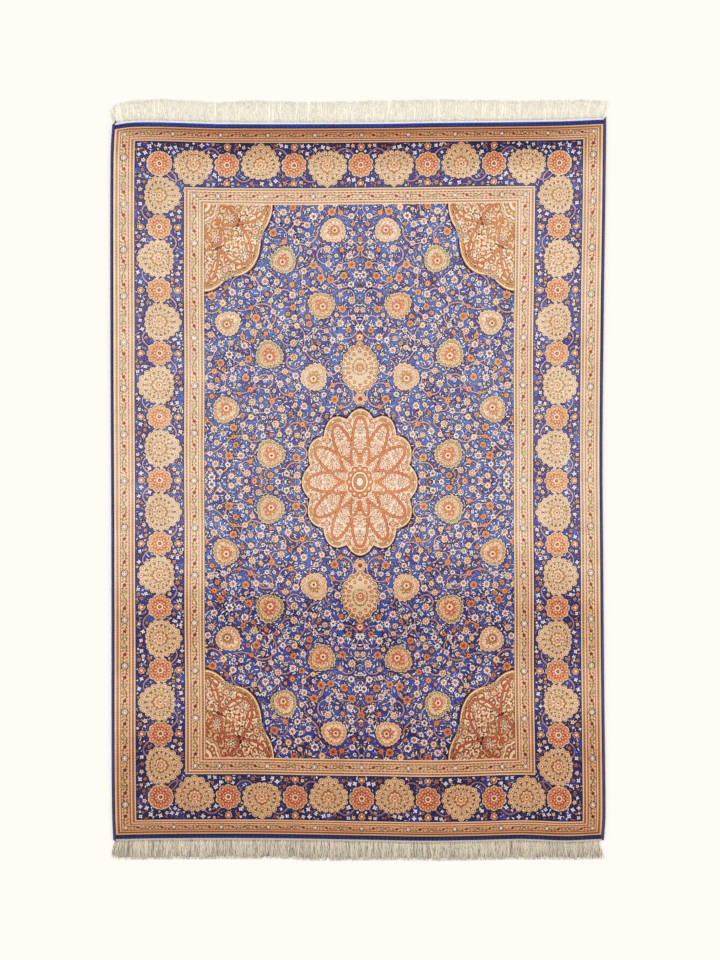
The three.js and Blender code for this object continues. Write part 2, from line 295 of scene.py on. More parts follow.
def half_lobe_maps(half, lobes):
    """Matrices that carry half a lobe of a round medallion to every half lobe of an oval one.

    Each is a flip or none, a turn by whole lobes, then a stretch to the half width and half length.
    """
    stretch = np.diag(np.array(half) / np.sqrt(half[0] * half[1]))
    maps = []
    for angle in 2 * HALF_TURN * np.arange(lobes) / lobes:
        turn = np.array([[np.cos(angle), -np.sin(angle)], [np.sin(angle), np.cos(angle)]])
        maps += [stretch @ turn, stretch @ turn @ np.diag([1, -1])]
    return maps


def lace(plan, chance, at, half, lobes, zone, reaches, ribbon, fine, bud):
    """Arabesque of tapered ribbons with split leaves, drawn in half a lobe and carried to every other one.

    Its scrolls grow between two shares of the medallion's reach. A ribbon is (width, yarn, edge yarn), a bud
    the layers at a scroll's heart.
    """
    low, high = np.array(zone) * np.sqrt(half[0] * half[1])
    sector = HALF_TURN / lobes

    def inside(centre, own):
        away, angle = np.hypot(*centre), np.arctan2(centre[1], centre[0])
        beside = min(angle, sector - angle)
        return low + own < away < high - own and 0 < beside and away * np.sin(beside) > 0.92 * own

    first = reaches[0]
    seeds = [(start, first, first, HALF_TURN, 1) for start in np.linspace(low + first, high - first, 9)]
    grown = [grow_scrolls(chance, [seed], reaches, inside, 700) for seed in seeds]
    large = max(grown, key=lambda scrolls: sum(scroll[2] ** 2 for scroll in scrolls))
    every = grow_scrolls(chance, large, (0.35 * reaches[0], 0.62 * reaches[0]), inside, 1500)
    maps = half_lobe_maps(half, lobes)
    for scrolls, (width, yarn, edge) in ((every[len(large):], fine), (large, ribbon)):
        for colour, extra in ((edge, 1.2 * KNOT), (yarn, 0)):
            for x, y, reach, start, hand in scrolls:
                line = spiral((x, y), reach, 1.0 * hand, start, 0.35)
                taper = width * (0.45 + 0.55 * np.sin(np.linspace(0.1, 3.0, len(line))))
                for place in maps:
                    plan.stroke(line @ place.T + at, taper + extra, colour, True)
    for x, y, reach, start, hand in large:
        line = spiral((x, y), reach, 1.0 * hand, start, 0.35)
        ahead = np.gradient(line, axis=0)
        for stop, side in ((0.12, 1), (0.30, -1), (0.48, 1), (0.66, -1)):
            index = int(stop * len(line))
            way = np.arctan2(ahead[index, 1], ahead[index, 0]) + side * 0.8
            middle = line[index] + 0.30 * reach * heading(way)
            yarn = (RUST, ORANGE)[side > 0]
            for place in maps:
                turn = np.arctan2(*(place @ heading(way))[::-1])
                plan.leaf(place @ middle + at, 0.60 * reach, 0.26 * reach, turn, yarn, None)
                plan.leaf(place @ middle + at, 0.40 * reach, 0.12 * reach, turn, CREAM, None)
    for x, y, reach, start, hand in every:
        for place in maps:
            plan.motif(place @ (x, y) + at, 0.28 * reach, round_petals(5, 0.25), bud, 0.0, 1.0, None)


def fill_lobes(plan, chance, at, half, lobes, zone, sizes, gap, kinds):
    """Small flowers in what the lace leaves free: thrown at half a lobe, then carried to every other one."""
    low, high = np.array(zone) * np.sqrt(half[0] * half[1])
    maps = half_lobe_maps(half, lobes)
    for away, way, size, pick in chance.uniform((low, 0, 0, 0), (high, HALF_TURN / lobes, 1, 1), (2500, 4)):
        reach = sizes[0] + (sizes[1] - sizes[0]) * size
        middle = away * heading(way)
        if plan.clear(maps[0] @ middle + at, reach + gap):
            outline, layers = kinds[int(pick * len(kinds))]
            for place in maps:
                plan.motif(place @ middle + at, reach, outline, layers, way, 1.0, None)


def arches(plan, at, half, lobes, zone, shift, width):
    """Orange ribbon of round arches about a medallion, one a lobe, turned by a share of a lobe.

    It runs out from the inner to the outer share of the reach by the size of cos(lobes * angle / 2).
    """
    angle = np.linspace(0, 2 * HALF_TURN, int(2 * HALF_TURN * half[1] / (0.3 * KNOT)))
    away = zone[0] + (zone[1] - zone[0]) * np.abs(np.cos(lobes * angle / 2 + shift * HALF_TURN))
    line = np.array(at) + away[:, None] * np.stack([half[0] * np.cos(angle), half[1] * np.sin(angle)], 1)
    plan.stroke(line, width, ORANGE, True, RUST)


def hearts(plan, at, half, lobes, share, shift, reach, outline, layers):
    """One flower a lobe at a share of the reach, pointing outwards."""
    for angle in 2 * HALF_TURN * (np.arange(lobes) - shift) / lobes:
        place = np.array(at) + share * (np.array(half) * heading(angle))
        plan.motif(place, reach, outline, layers, angle, 1.0, None)


def medallion(plan, chance, at, half, lobes, rings, zones, wreaths, fills):
    """A lobed oval medallion, by the share outwards: hypot(x / half width, y / half length).

    Rings are (share, depth of lobes, yarn) from the outside in. A zone has its inner and outer share, its
    lace, its arches as (inner and outer share, shift, width) and its hearts as (share, shift, reach, outline,
    layers). Wreaths are (share, petals a lobe, share of a petal, layers).
    """
    area, away, angle = plan.window(at, half[0] * 1.06, 0.0, half[1] / half[0])
    away = away / half[0]
    for share, depth, yarn in rings:
        shape = share * round_petals(lobes, depth)(angle)
        if yarn == PLUM:
            plan.edge(area, away < shape)
        else:
            plan.paint(area, away < shape, yarn)
    whole = plan.taken[area].copy()
    for zone, scrolls, arch_rows, heart_rows in zones:
        plan.taken[area] = False
        lace(plan, chance, at, half, lobes, zone, *scrolls)
        for row in arch_rows:
            arches(plan, at, half, lobes, *row)
        for row in heart_rows:
            hearts(plan, at, half, lobes, *row)
        fill_lobes(plan, chance, at, half, lobes, zone, (2.2, 3.6), 0.9, fills)
    plan.taken[area] |= whole
    for share, count, petal, layers in wreaths:
        plan.wreath(at, share * half[0], count * lobes, petal * half[0], layers, 0.0, half[1] / half[0],
                    round_petals(lobes, 0.09 if share > 0.5 else 0.0))


def draw_medallions(plan, chance):
    """The middle medallion, its pendants on the long axis and a quarter medallion in the field's corner."""
    rings = (
        (1.025, 0.11, PLUM), (1.0, 0.11, RUST), (0.988, 0.11, CREAM), (0.97, 0.11, GOLD),
        (0.92, 0.12, RUST), (0.908, 0.12, CREAM), (0.23, 0.10, RUST), (0.215, 0.10, ORANGE),
        (0.15, 0.0, RUST), (0.138, 0.0, CREAM),
    )
    bud = ((1.0, RUST), (0.70, GOLD))
    bloom = ((1.0, RUST), (0.90, CREAM), (0.66, RUST), (0.58, GOLD), (0.26, WHITE))
    small_bloom = ((1.0, RUST), (0.82, PEACH), (0.50, CREAM), (0.24, RED))
    fan, posy = (palmette_outline(7, 0.2), bloom), (round_petals(5, 0.3), small_bloom)
    ribbons = ((1.0, ORANGE, CREAM), (1.0, RUST, CREAM), bud)
    zones = (
        ((0.48, 0.90), ((9, 13), *ribbons), (((0.50, 0.88), 0.0, 2.2),),
         ((0.72, 0.0, 11, *fan), (0.56, 0.0, 5, *posy), (0.79, 0.5, 8, round_petals(6, 0.3), small_bloom))),
        ((0.24, 0.50), ((6, 9), *ribbons), (((0.26, 0.47), 0.5, 1.8),),
         ((0.37, 0.5, 7.5, palmette_outline(5, 0.2), bloom), (0.44, 0.0, 4.5, *posy))),
    )
    wreaths = (
        (0.945, 3, 0.014, ((1.0, CREAM),)), (0.182, 1, 0.018, ((1.0, CREAM),)),
        (0.085, 1, 0.030, ((1.0, RUST), (0.7, GOLD))),
    )
    fills = (
        (oval, ((1.0, SAGE), (0.5, CREAM))),
        (round_petals(5, 0.3), ((1.0, RUST), (0.68, SAND))),
        (oval, ((1.0, SAGE),)),
    )
    medallion(plan, chance, (0, 0), (148, 188), 12, rings, zones, wreaths, fills)
    corner_rings = (
        (1.02, 0.11, PLUM), (1.0, 0.11, RUST), (0.988, 0.11, CREAM), (0.97, 0.11, GOLD),
        (0.935, 0.12, RUST), (0.922, 0.12, CREAM), (0.52, 0.20, RUST), (0.51, 0.20, SAND),
        (0.21, 0.12, RUST), (0.198, 0.12, CREAM), (0.17, 0.12, RUST), (0.16, 0.12, GOLD),
        (0.10, 0.0, RUST), (0.09, 0.0, CREAM), (0.05, 0.0, ORANGE),
    )
    ribbons = ((1.5, RUST, GOLD), (1.2, BROWN, SAND), bud)
    corner_zones = (
        ((0.50, 0.92), ((13, 19), *ribbons), (((0.54, 0.90), 0.0, 2.0),),
         ((0.75, 0.0, 14, palmette_outline(9, 0.2), bloom), (0.60, 0.0, 7, *posy),
          (0.80, 0.5, 10, round_petals(7, 0.3), small_bloom))),
        ((0.20, 0.54), ((10, 14), *ribbons), (((0.24, 0.51), 0.5, 1.8),),
         ((0.39, 0.5, 11, *fan), (0.44, 0.0, 7, *posy))),
    )
    corner_wreaths = ((0.952, 5, 0.009, ((1.0, CREAM),)), (0.13, 2, 0.014, ((1.0, CREAM),)))
    corner_fills = (
        (oval, ((1.0, GOLD), (0.5, CREAM))),
        (round_petals(5, 0.3), ((1.0, RUST), (0.68, GOLD))),
        (oval, ((1.0, BROWN),)),
    )
    medallion(plan, chance, (FIELD_WIDTH, FIELD_LENGTH), (172, 224), 8, corner_rings, corner_zones,
              corner_wreaths, corner_fills)
    plan.motif((0, 212), 17, round_petals(6, 0.25), ((1.0, CREAM), (0.88, RUST), (0.80, PEACH), (0.35, RED)))
    layers = ((1.0, CREAM), (0.965, RUST), (0.945, GOLD), (0.82, RUST), (0.80, CREAM), (0.76, SAND))
    petals = ((1.0, RUST), (0.72, ORANGE), (0.30, CREAM))
    pendant, ahead = (0, 290), HALF_TURN / 2
    plan.motif(pendant, 68, ogee, layers, ahead)
    plan.wreath(pendant, 59, 26, 1.8, ((1.0, CREAM),), ahead, 1.0, ogee, 1.4)
    plan.wreath(pendant, 44, 16, 4.0, petals, ahead, 1.0, ogee, 1.3)
    large_palmette(plan, pendant, 29, ahead, OLIVE, SAND, ORANGE)
    plan.motif((0, 368), 13, pointed_petals(8, 0.3), ((1.0, ORANGE), (0.6, CREAM), (0.3, RED)), ahead)


# Large palmettes of the field: place, reach, turn in degrees and yarns of rim, body and heart
FIELD_PALMETTES = (
    ((224, 66), 45, 60, OLIVE, PEACH, ORANGE),
    ((118, 262), 43, 115, PEACH, SAND, GOLD),
    ((338, 186), 42, -60, GOLD, SAND, ORANGE),
    ((228, 318), 45, 75, OLIVE, PEACH, ORANGE),
    ((336, 400), 40, 140, PEACH, CREAM, GOLD),
    ((94, 446), 43, 40, GOLD, PEACH, ORANGE),
    ((196, 560), 42, 110, OLIVE, SAND, ORANGE),
    ((64, 640), 40, -20, PEACH, CREAM, ORANGE),
)


def scatter_flowers(plan, chance, flowers, reaches, gap, tries, box):
    """Throws flowers at a box and keeps those that land clear of all that is there."""
    throws = chance.uniform((0, 0, 0), (*box, 1), (tries, 3))
    kinds = chance.integers(0, len(flowers), tries)
    turns = chance.uniform(0, HALF_TURN, tries)
    for (x, y, size), kind, turn in zip(throws, kinds, turns):
        reach = reaches[0] + (reaches[1] - reaches[0]) * size
        if plan.clear((x, y), reach + gap):
            outline, layers = flowers[kind]
            plan.motif((x, y), reach, outline, layers, turn)


def leaf_if_clear(plan, at, length, turn, yarn, gap):
    """Knots a slim leaf where its two ends and its middle land clear."""
    ahead = heading(turn) * length * 0.32
    if all(plan.clear(at + share * ahead, length * 0.14 + gap) for share in (-1, 0, 1)):
        plan.leaf(at, length, length * 0.26, turn, yarn)


def scatter_leaves(plan, chance, sizes, gap, tries, box, yarns):
    """Throws small leaves at a box and keeps those that land clear."""
    throws = chance.uniform((0, 0, 0, 0), (*box, 1, HALF_TURN), (tries, 4))
    picks = chance.integers(0, len(yarns), tries)
    for (x, y, size, turn), pick in zip(throws, picks):
        leaf_if_clear(plan, np.array([x, y]), sizes[0] + (sizes[1] - sizes[0]) * size, turn, yarns[pick], gap)


def draw_scrolls(plan, chance, scrolls, spacing, reaches, width, leaf):
    """Flowers at each scroll's end and along it, then the stems under them, then leaves to both sides."""
    lines = [spiral((x, y), reach, (0.85 if reach > 30 else 0.65) * hand, start, 0.45)
             for x, y, reach, start, hand in scrolls]
    for line in lines:
        outline, layers = FLOWERS[chance.integers(0, 4)]
        if plan.clear(line[-1], reaches[1]):
            plan.motif(line[-1], reaches[1], outline, layers, chance.uniform(0, HALF_TURN))
        passed = way_along(line)
        for stop in np.arange(spacing * 0.5, passed[-1], spacing):
            at = line[np.searchsorted(passed, stop)]
            own = chance.uniform(*reaches)
            outline, layers = FLOWERS[chance.integers(0, len(FLOWERS))]
            if plan.clear(at, own + 1.5):
                plan.motif(at, own, outline, layers, chance.uniform(0, HALF_TURN))
    for line in lines:
        plan.stroke(line, width, (MAUVE, MAUVE, ROSE)[chance.integers(0, 3)], edge=PLUM)
    for line in lines:
        ahead = np.gradient(line, axis=0)
        passed = way_along(line)
        side = 1
        for stop in np.arange(3.0, passed[-1], 0.75 * leaf):
            index = np.searchsorted(passed, stop)
            way = np.arctan2(ahead[index, 1], ahead[index, 0])
            turn = way + side * 0.75
            at = line[index] + (0.5 * leaf + 0.9) * heading(turn)
            yarn = (WHITE, CREAM, WHITE, MAUVE, WHITE, ROSE)[chance.integers(0, 6)]
            leaf_if_clear(plan, at, leaf * chance.uniform(0.8, 1.15), turn, yarn, 0.5)
            side = -side


def draw_field(plan, chance):
    """Medallions, palmettes, scrolls that grow from them, then small flowers and leaves between."""
    draw_medallions(plan, chance)
    for at, reach, turn, rim, body, heart in FIELD_PALMETTES:
        large_palmette(plan, at, reach, np.radians(turn), rim, body, heart)

    def inside(at, own):
        low = 0.9 * own
        return low < at[0] < FIELD_WIDTH and low < at[1] < FIELD_LENGTH and plan.clear(at, 0.6 * own)

    seeds = [(*row[0], row[1] + 3, 0.0, 1 - 2 * (index % 2)) for index, row in enumerate(FIELD_PALMETTES)]
    scrolls = grow_scrolls(chance, seeds, (34, 58), inside, 1500, 0.85)
    scrolls = grow_scrolls(chance, scrolls, (20, 32), inside, 1200, 0.85)
    draw_scrolls(plan, chance, scrolls[len(seeds):], 30, (7.0, 11.0), 1.9, 10.5)
    box = (FIELD_WIDTH + 8, FIELD_LENGTH + 8)
    scatter_flowers(plan, chance, FLOWERS, (7.5, 10.5), 5.0, 5000, box)
    scatter_flowers(plan, chance, FLOWERS, (5.5, 7.0), 4.0, 5000, box)
    scatter_leaves(plan, chance, (8, 13), 0.7, 6000, box, (WHITE, WHITE, CREAM, MAUVE, WHITE, ROSE))
    scatter_flowers(plan, chance, STAR_FLOWERS, (3.6, 4.6), 1.8, 6000, box)
    scatter_leaves(plan, chance, (5, 8), 0.6, 5000, box, (MAUVE, WHITE, ROSE, WHITE))


def depth_of_stripes(plan):
    """Stripes passed on the way in, as a number that grows by 1 a stripe, and whether the side is nearer."""
    from_side = np.interp(HALF_WIDTH - plan.x, np.r_[0, np.cumsum(SIDE_STRIPES)], range(4))[None, :]
    from_end = np.interp(HALF_LENGTH - plan.y, np.r_[0, np.cumsum(END_STRIPES)], range(4))[:, None]
    return np.minimum(from_side, from_end), from_side < from_end


def border_palmette(plan, at, turn):
    """A broad palmette of the main border: cream rim, sand body with two wreaths, gold and orange heart."""
    shape = palmette_outline(17, 0.11)
    layers = (
        (1.0, CREAM), (0.965, GOLD), (0.945, SAND), (0.70, RUST), (0.685, CREAM), (0.62, GOLD), (0.59, SAND),
    )
    plan.motif(at, 56, shape, layers, turn, 1.12)
    plan.wreath(at, 46, 17, 5.0, ((1.0, GOLD), (0.76, CREAM), (0.30, RUST)), turn, 1.12, shape, 1.25)
    plan.wreath(at, 37, 17, 2.0, ((1.0, BROWN), (0.62, OLIVE)), turn, 1.12, shape, 1.8)
    plan.wreath(at, 28, 13, 3.6, ((1.0, GOLD), (0.74, CREAM), (0.34, PLUM)), turn, 1.12, shape, 1.5)
    layers = ((1.0, RUST), (0.95, GOLD), (0.72, CREAM), (0.64, PEACH))
    plan.motif(at, 22, palmette_outline(11, 0.16), layers, turn, 1.1, None)
    plan.wreath(at, 13, 9, 2.0, ((1.0, CREAM),), turn, 1.0, oval, 1.4)
    plan.motif(at, 7.5, round_petals(8, 0.3), ((1.0, RUST), (0.86, CREAM), (0.4, RED)), turn, 1.0, None)


def border_rosette(plan, at, turn):
    """A rosette of the main border: orange and peach rings with wreaths of small petals."""
    layers = (
        (1.0, CREAM), (0.94, RUST), (0.92, PEACH), (0.56, RUST), (0.53, ORANGE), (0.30, RUST), (0.27, CREAM),
    )
    plan.motif(at, 32, round_petals(10, 0.12), layers, turn)
    plan.wreath(at, 22.5, 10, 4.2, ((1.0, RUST), (0.84, ORANGE), (0.46, CREAM)), turn, 1.0, oval, 1.2)
    plan.wreath(at, 27, 20, 1.2, ((1.0, ORANGE),), turn)
    plan.wreath(at, 12.5, 10, 1.7, ((1.0, CREAM),), turn)
    plan.motif(at, 4.5, oval, ((1.0, RED), (0.5, GOLD)), turn, 1.0, None)


def draw_border(plan, chance, depth):
    """Main border: palmettes that point in and out by turns, rosettes with buds between them, an S-shaped
    vine and small flowers."""
    plan.open = (depth >= 1) & (depth < 2)
    plan.yarn[plan.open] = VIOLET
    plan.taken[plan.open] = False
    side_x = HALF_WIDTH - SIDE_STRIPES[0] - SIDE_STRIPES[1] / 2
    end_y = HALF_LENGTH - END_STRIPES[0] - END_STRIPES[1] / 2
    runs = (
        (lambda k: (side_x, k * end_y / 10), 10, 0.0),
        (lambda k: (k * side_x / 6, end_y), 6, HALF_TURN / 2),
    )
    bud = ((1.0, CREAM), (0.86, BROWN), (0.78, ORANGE), (0.42, CREAM))
    for place, count, out in runs:
        outward = heading(out)
        for k in range(count + 1):
            at = np.array(place(k))
            if k % 2:
                border_palmette(plan, at, out + (HALF_TURN if k % 4 == 1 else 0))
            else:
                border_rosette(plan, at, out)
                for sign in (-1, 1) if k < count else ():
                    turn = out + HALF_TURN * (sign > 0)
                    plan.motif(at + sign * outward * 47, 11, palmette_outline(7, 0.15), bud, turn)
        for k in range(count):
            share = np.linspace(0, 1, 200)[:, None]
            start, end = np.array(place(k)), np.array(place(k + 1))
            swing = (-1 if k % 2 else 1) * 42 * np.sin(share * HALF_TURN)
            plan.stroke(start + (end - start) * share + outward * swing, 1.8, MAUVE, edge=PLUM)
    box = (HALF_WIDTH, HALF_LENGTH)
    small = (STAR_FLOWERS[0], STAR_FLOWERS[1], STAR_FLOWERS[4], STAR_FLOWERS[0])
    scatter_flowers(plan, chance, small, (5.4, 7.0), 2.0, 12000, box)
    scatter_leaves(plan, chance, (8, 12), 0.9, 6000, box, (MAUVE, WHITE, ROSE))
    scatter_flowers(plan, chance, small, (3.0, 4.3), 1.3, 9000, box)
    scatter_leaves(plan, chance, (5, 7), 0.9, 6000, box, (MAUVE, WHITE, MAUVE))
    plan.open[:] = True


# Stripes of a guard from its edge to its middle line, by the share of its width where each ends
GUARD_STRIPES = ((0.065, BLUSH), (0.185, STRAW), (0.245, BLUSH), (0.325, ROSE), (0.365, BLUSH), (0.51, SAND))
# Dashes along a guard: share of its width, half their own width, knots from one to the next, length, yarn
GUARD_DASHES = (
    (0.125, 0.035, 5, 3, OLIVE), (0.125, 0.02, 5, 1, BROWN),
    (0.29, 0.02, 7, 3, RUST), (0.29, 0.02, 7, 1, RED),
)
# Leaves on a guard's vine: share of the way to the next motif, slant and yarn
GUARD_LEAVES = ((0.2, 0.9, OLIVE), (0.34, 0.9, RUST), (0.66, -0.9, RUST), (0.8, -0.9, OLIVE))
# Half the thickness of the line between two stripes, as a share of a stripe
RULE = 0.012


def guard_stripes(plan, depth, first, by_side, margin):
    """Colours across a guard by the share of its width, past a margin, then dashes along its stripes."""
    inside = (depth >= first) & (depth < first + 1)
    share = (depth - first - margin) / (1 - margin)
    near = np.clip(np.minimum(share, 1 - share), 0, 1)
    for limit, yarn in reversed(GUARD_STRIPES):
        plan.yarn[inside & (near < limit)] = yarn
    along = np.floor(np.where(by_side, plan.y[:, None], plan.x[None, :]) / KNOT)
    for at, half, pitch, length, yarn in GUARD_DASHES:
        plan.yarn[inside & (np.abs(near - at) < half) & (along % pitch < length)] = yarn
    for line in (first, first + 1):
        plan.yarn[(np.abs(depth - line) < RULE) & (depth < 3)] = PLUM if line in (1, 2) else BROWN


def draw_guard(plan, depth, by_side, first, side_count, end_count):
    """A guard: its stripes, a dark line as the carpet's outermost knots, then rosettes and double scrolls by
    turns with a red fleck between them, on a wavy vine."""
    plan.open = (depth >= first) & (depth < first + 1)
    plan.taken[plan.open] = False
    guard_stripes(plan, depth, first, by_side, 0.045 * (first == 0))
    if first == 0:
        outermost = (HALF_WIDTH - plan.x < KNOT)[None, :] | (HALF_LENGTH - plan.y < KNOT)[:, None]
        plan.yarn[outermost] = PLUM
    side, end = SIDE_STRIPES[first], END_STRIPES[first]
    side_x = HALF_WIDTH - SIDE_STRIPES[:first].sum() - side / 2
    end_y = HALF_LENGTH - END_STRIPES[:first].sum() - end / 2
    runs = (
        (lambda k: np.array([side_x, k * end_y / side_count]), side_count, side, HALF_TURN / 2),
        (lambda k: np.array([k * side_x / end_count, end_y]), end_count, end, 0.0),
    )
    fleck = ((1.0, RUST), (0.50, RED))
    for place, count, width, ahead in runs:
        reach = 0.16 * width
        forward = heading(ahead)
        outward = np.array([-forward[1], forward[0]])
        for k in range(count):
            at = place(k)
            if k % 2 == 0:
                draw_guard_rosette(plan, at, reach, ahead)
            else:
                for sign in (-1, 1):
                    centre = at + sign * forward * reach
                    line = spiral(centre, reach * 0.86, 1.15 * sign, ahead + HALF_TURN * (sign > 0), 0.35)
                    plan.stroke(line, 1.5, OLIVE, True)
                    plan.motif(centre, 0.40 * reach, oval, ((1.0, BROWN), (0.75, CREAM)), edge=None)
            plan.motif(place(k + 0.5), reach * 0.72, pointed_petals(5, 0.45), fleck, ahead + 0.5, 1.2, None)
            for shift, slant, yarn in GUARD_LEAVES:
                for sign in (-1, 1):
                    at_leaf = place(k + shift) + sign * outward * reach * 0.55
                    plan.leaf(at_leaf, 1.1 * reach, 0.36 * reach, ahead + sign * slant, yarn, None)
        step = place(1) - place(0)
        share = np.arange(0, count, 0.4 * KNOT / np.hypot(*step))[:, None]
        wave = place(0) + step * share + outward * 0.55 * reach * np.sin(share * 2 * HALF_TURN)
        plan.stroke(wave, 1.0, RUST)
    draw_guard_rosette(plan, np.array([side_x, end_y]), 0.15 * min(side, end), 0.0)
    plan.open[:] = True


def draw_guard_rosette(plan, at, reach, turn):
    """A small rosette of the guards, white at its heart."""
    layers = ((1.0, BROWN), (0.90, SAGE), (0.72, CREAM), (0.50, RUST), (0.38, WHITE))
    plan.motif(at, reach * 1.2, round_petals(8, 0.2), layers, turn, 1.0, None)


def draw_cartoon():
    """The whole carpet's yarns, a row of the plan a row of knots: the quarter and its three mirror images.

    The dyed ground then changes between two blues in patches, by a sum of slow waves.
    """
    plan = Cartoon()
    chance = np.random.default_rng(SEED)
    draw_field(plan, chance)
    depth, by_side = depth_of_stripes(plan)
    draw_border(plan, chance, depth)
    draw_guard(plan, depth, by_side, 0, 15, 10)
    draw_guard(plan, depth, by_side, 2, 12, 7)
    half = np.concatenate([plan.yarn[::-1], plan.yarn])
    yarn = np.concatenate([half[:, ::-1], half], 1)
    row, column = np.mgrid[: yarn.shape[0], : yarn.shape[1]] * (KNOT / 100)
    wave = np.sin(row * 7.1 + 2 * np.sin(column * 3.1)) + np.sin(column * 8.3 + 2 * np.sin(row * 2.3))
    wave += 0.7 * np.sin(row * 15.7 + column * 11.9)
    yarn[(yarn == ROYAL) & (wave < -0.4)] = VIOLET
    yarn[(yarn == VIOLET) & (wave > 1.2)] = ROYAL
    return yarn


def row_runs(yarn):
    """Rectangles of one yarn: runs along each row, then equal runs in rows that follow each other are joined.
    Returns first column, end column, first row, end row and yarn, a row for each rectangle."""
    changes = np.ones(yarn.shape, bool)
    changes[:, 1:] = yarn[:, 1:] != yarn[:, :-1]
    row, start = np.nonzero(changes)
    last_in_row = np.append(row[1:] != row[:-1], True)
    end = np.where(last_in_row, yarn.shape[1], np.append(start[1:], 0))
    colour = yarn[row, start]
    order = np.lexsort((row, colour, end, start))
    row, start, end, colour = row[order], start[order], end[order], colour[order]
    new = np.ones(len(row), bool)
    same = (start[1:] == start[:-1]) & (end[1:] == end[:-1]) & (colour[1:] == colour[:-1])
    new[1:] = ~(same & (row[1:] == row[:-1] + 1))
    first = np.nonzero(new)[0]
    last = np.append(first[1:], len(row)) - 1
    return np.stack([start[first], end[first], row[first], row[last] + 1, colour[first]], 1).astype(np.int64)


def knot_runs(yarn):
    """Rectangles of one yarn, by rows or by columns, whichever needs fewer."""
    by_rows = row_runs(yarn)
    by_columns = row_runs(yarn.T)[:, [2, 3, 0, 1, 4]]
    return by_rows if len(by_rows) <= len(by_columns) else by_columns


def node_points(name):
    """Vertices of a node of the frame, an array of places in metres."""
    mesh = NODES[name].data
    points = np.zeros(len(mesh.vertices) * 3, np.float32)
    mesh.vertices.foreach_get("co", points)
    return points.reshape(-1, 3).astype(float)


class Outline:
    """The carpet's four real edges, read from the frame's slab where it meets the floor."""

    def __init__(self):
        points = node_points("carpet")
        ring = np.unique(np.round(points[points[:, 2] < 1e-4, :2], 7), axis=0)
        ring = ring[np.argsort(np.arctan2(ring[:, 1], ring[:, 0]))]
        first = np.argmin(ring.sum(1))
        ring = np.roll(ring, -first, axis=0)
        foot_right = np.argmax(ring[:, 0] - ring[:, 1])
        head_right = np.argmax(ring.sum(1))
        head_left = np.argmax(ring[:, 1] - ring[:, 0])
        self.foot, self.right = ring[: foot_right + 1], ring[foot_right : head_right + 1]
        self.head = ring[head_right : head_left + 1][::-1]
        self.left = np.vstack([ring[head_left:], ring[:1]])[::-1]

    @staticmethod
    def along(edge, share, axis):
        """Points of an edge by the share of the way along the axis that it runs by."""
        at = edge[0, axis] + (edge[-1, axis] - edge[0, axis]) * share
        return np.stack([read_off(edge, at, column, axis) for column in (0, 1)], -1)

    def place(self, across, up):
        """A Coons patch: the blend of left and right edge plus the blend of foot and head edge, less the
        blend of the four corners. Across and up are shares from the foot's left corner."""
        across, up = np.asarray(across, float), np.asarray(up, float)
        u, v = across[..., None], up[..., None]
        ends = (1 - v) * self.along(self.foot, across, 0) + v * self.along(self.head, across, 0)
        sides = (1 - u) * self.along(self.left, up, 1) + u * self.along(self.right, up, 1)
        low = (1 - u) * self.foot[0] + u * self.foot[-1]
        high = (1 - u) * self.head[0] + u * self.head[-1]
        return ends + sides - (1 - v) * low - v * high


OUTLINE = Outline()
LOW_CORNER, HIGH_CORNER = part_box("carpet")
CARPET_WIDTH, CARPET_LENGTH = HIGH_CORNER.x - LOW_CORNER.x, HIGH_CORNER.y - LOW_CORNER.y
PILE_TOP = HIGH_CORNER.z
# How far the pile is rounded off at its edge, how high its slow wave is, how far the foundation lies under
# it, how far the design lies off the middle line and how far the knots waver from an even grid
PILE_ROUND = 1.6 * MM
PILE_WAVE = 0.12 * MM
SLAB_SINK = 0.45 * MM
DESIGN_SHIFT = 7.5 * MM
WAVER = 1.1 * MM


def pile_height(place, across, up):
    """Height of the pile's tips: rounded off at the carpet's edge, with a slow wave that shears leave."""
    aside, ahead = np.minimum(across, 1 - across) * CARPET_WIDTH, np.minimum(up, 1 - up) * CARPET_LENGTH
    inward = np.minimum(aside, ahead)
    share = np.clip(1 - inward / PILE_ROUND, 0, 1)
    x, y = place[..., 0], place[..., 1]
    wave = np.sin(x * 23 + 1.7 * np.sin(y * 9)) * np.sin(y * 31 + 1.3 * np.sin(x * 13))
    return PILE_TOP - PILE_ROUND * (1 - np.sqrt(1 - share**2)) - PILE_WAVE * (1 + wave)


def make_mesh(name, points, faces):
    """A mesh from an array of places and a list of arrays of faces, each array with one number of corners."""
    mesh = bpy.data.meshes.new(name)
    corners = np.concatenate([part.ravel() for part in faces]).astype(np.int32)
    sizes = np.concatenate([np.full(len(part), part.shape[1]) for part in faces])
    mesh.vertices.add(len(points))
    mesh.vertices.foreach_set("co", np.asarray(points, np.float32).ravel())
    mesh.loops.add(len(corners))
    mesh.loops.foreach_set("vertex_index", corners)
    mesh.polygons.add(len(sizes))
    mesh.polygons.foreach_set("loop_start", (np.cumsum(sizes) - sizes).astype(np.int32))
    mesh.update(calc_edges=True)
    return mesh


def add_piece(name, points, faces, material, node, wrap=None, smooth=True):
    """Puts a mesh in the scene as a piece that stands for a node of the frame. Wrap is how light the yarn is
    at each point, for the materials that ask for it; on cords, bands and fringes it holds painted shade
    and highlight."""
    mesh = make_mesh(name, points, faces)
    mesh.polygons.foreach_set("use_smooth", np.full(len(mesh.polygons), smooth))
    mesh.materials.append(material)
    piece = bpy.data.objects.new(name, mesh)
    bpy.context.scene.collection.objects.link(piece)
    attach(piece, "root")
    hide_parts(node)
    if wrap is not None:
        add_attribute(piece, "wrap", "FLOAT", "POINT", wrap)
    return piece


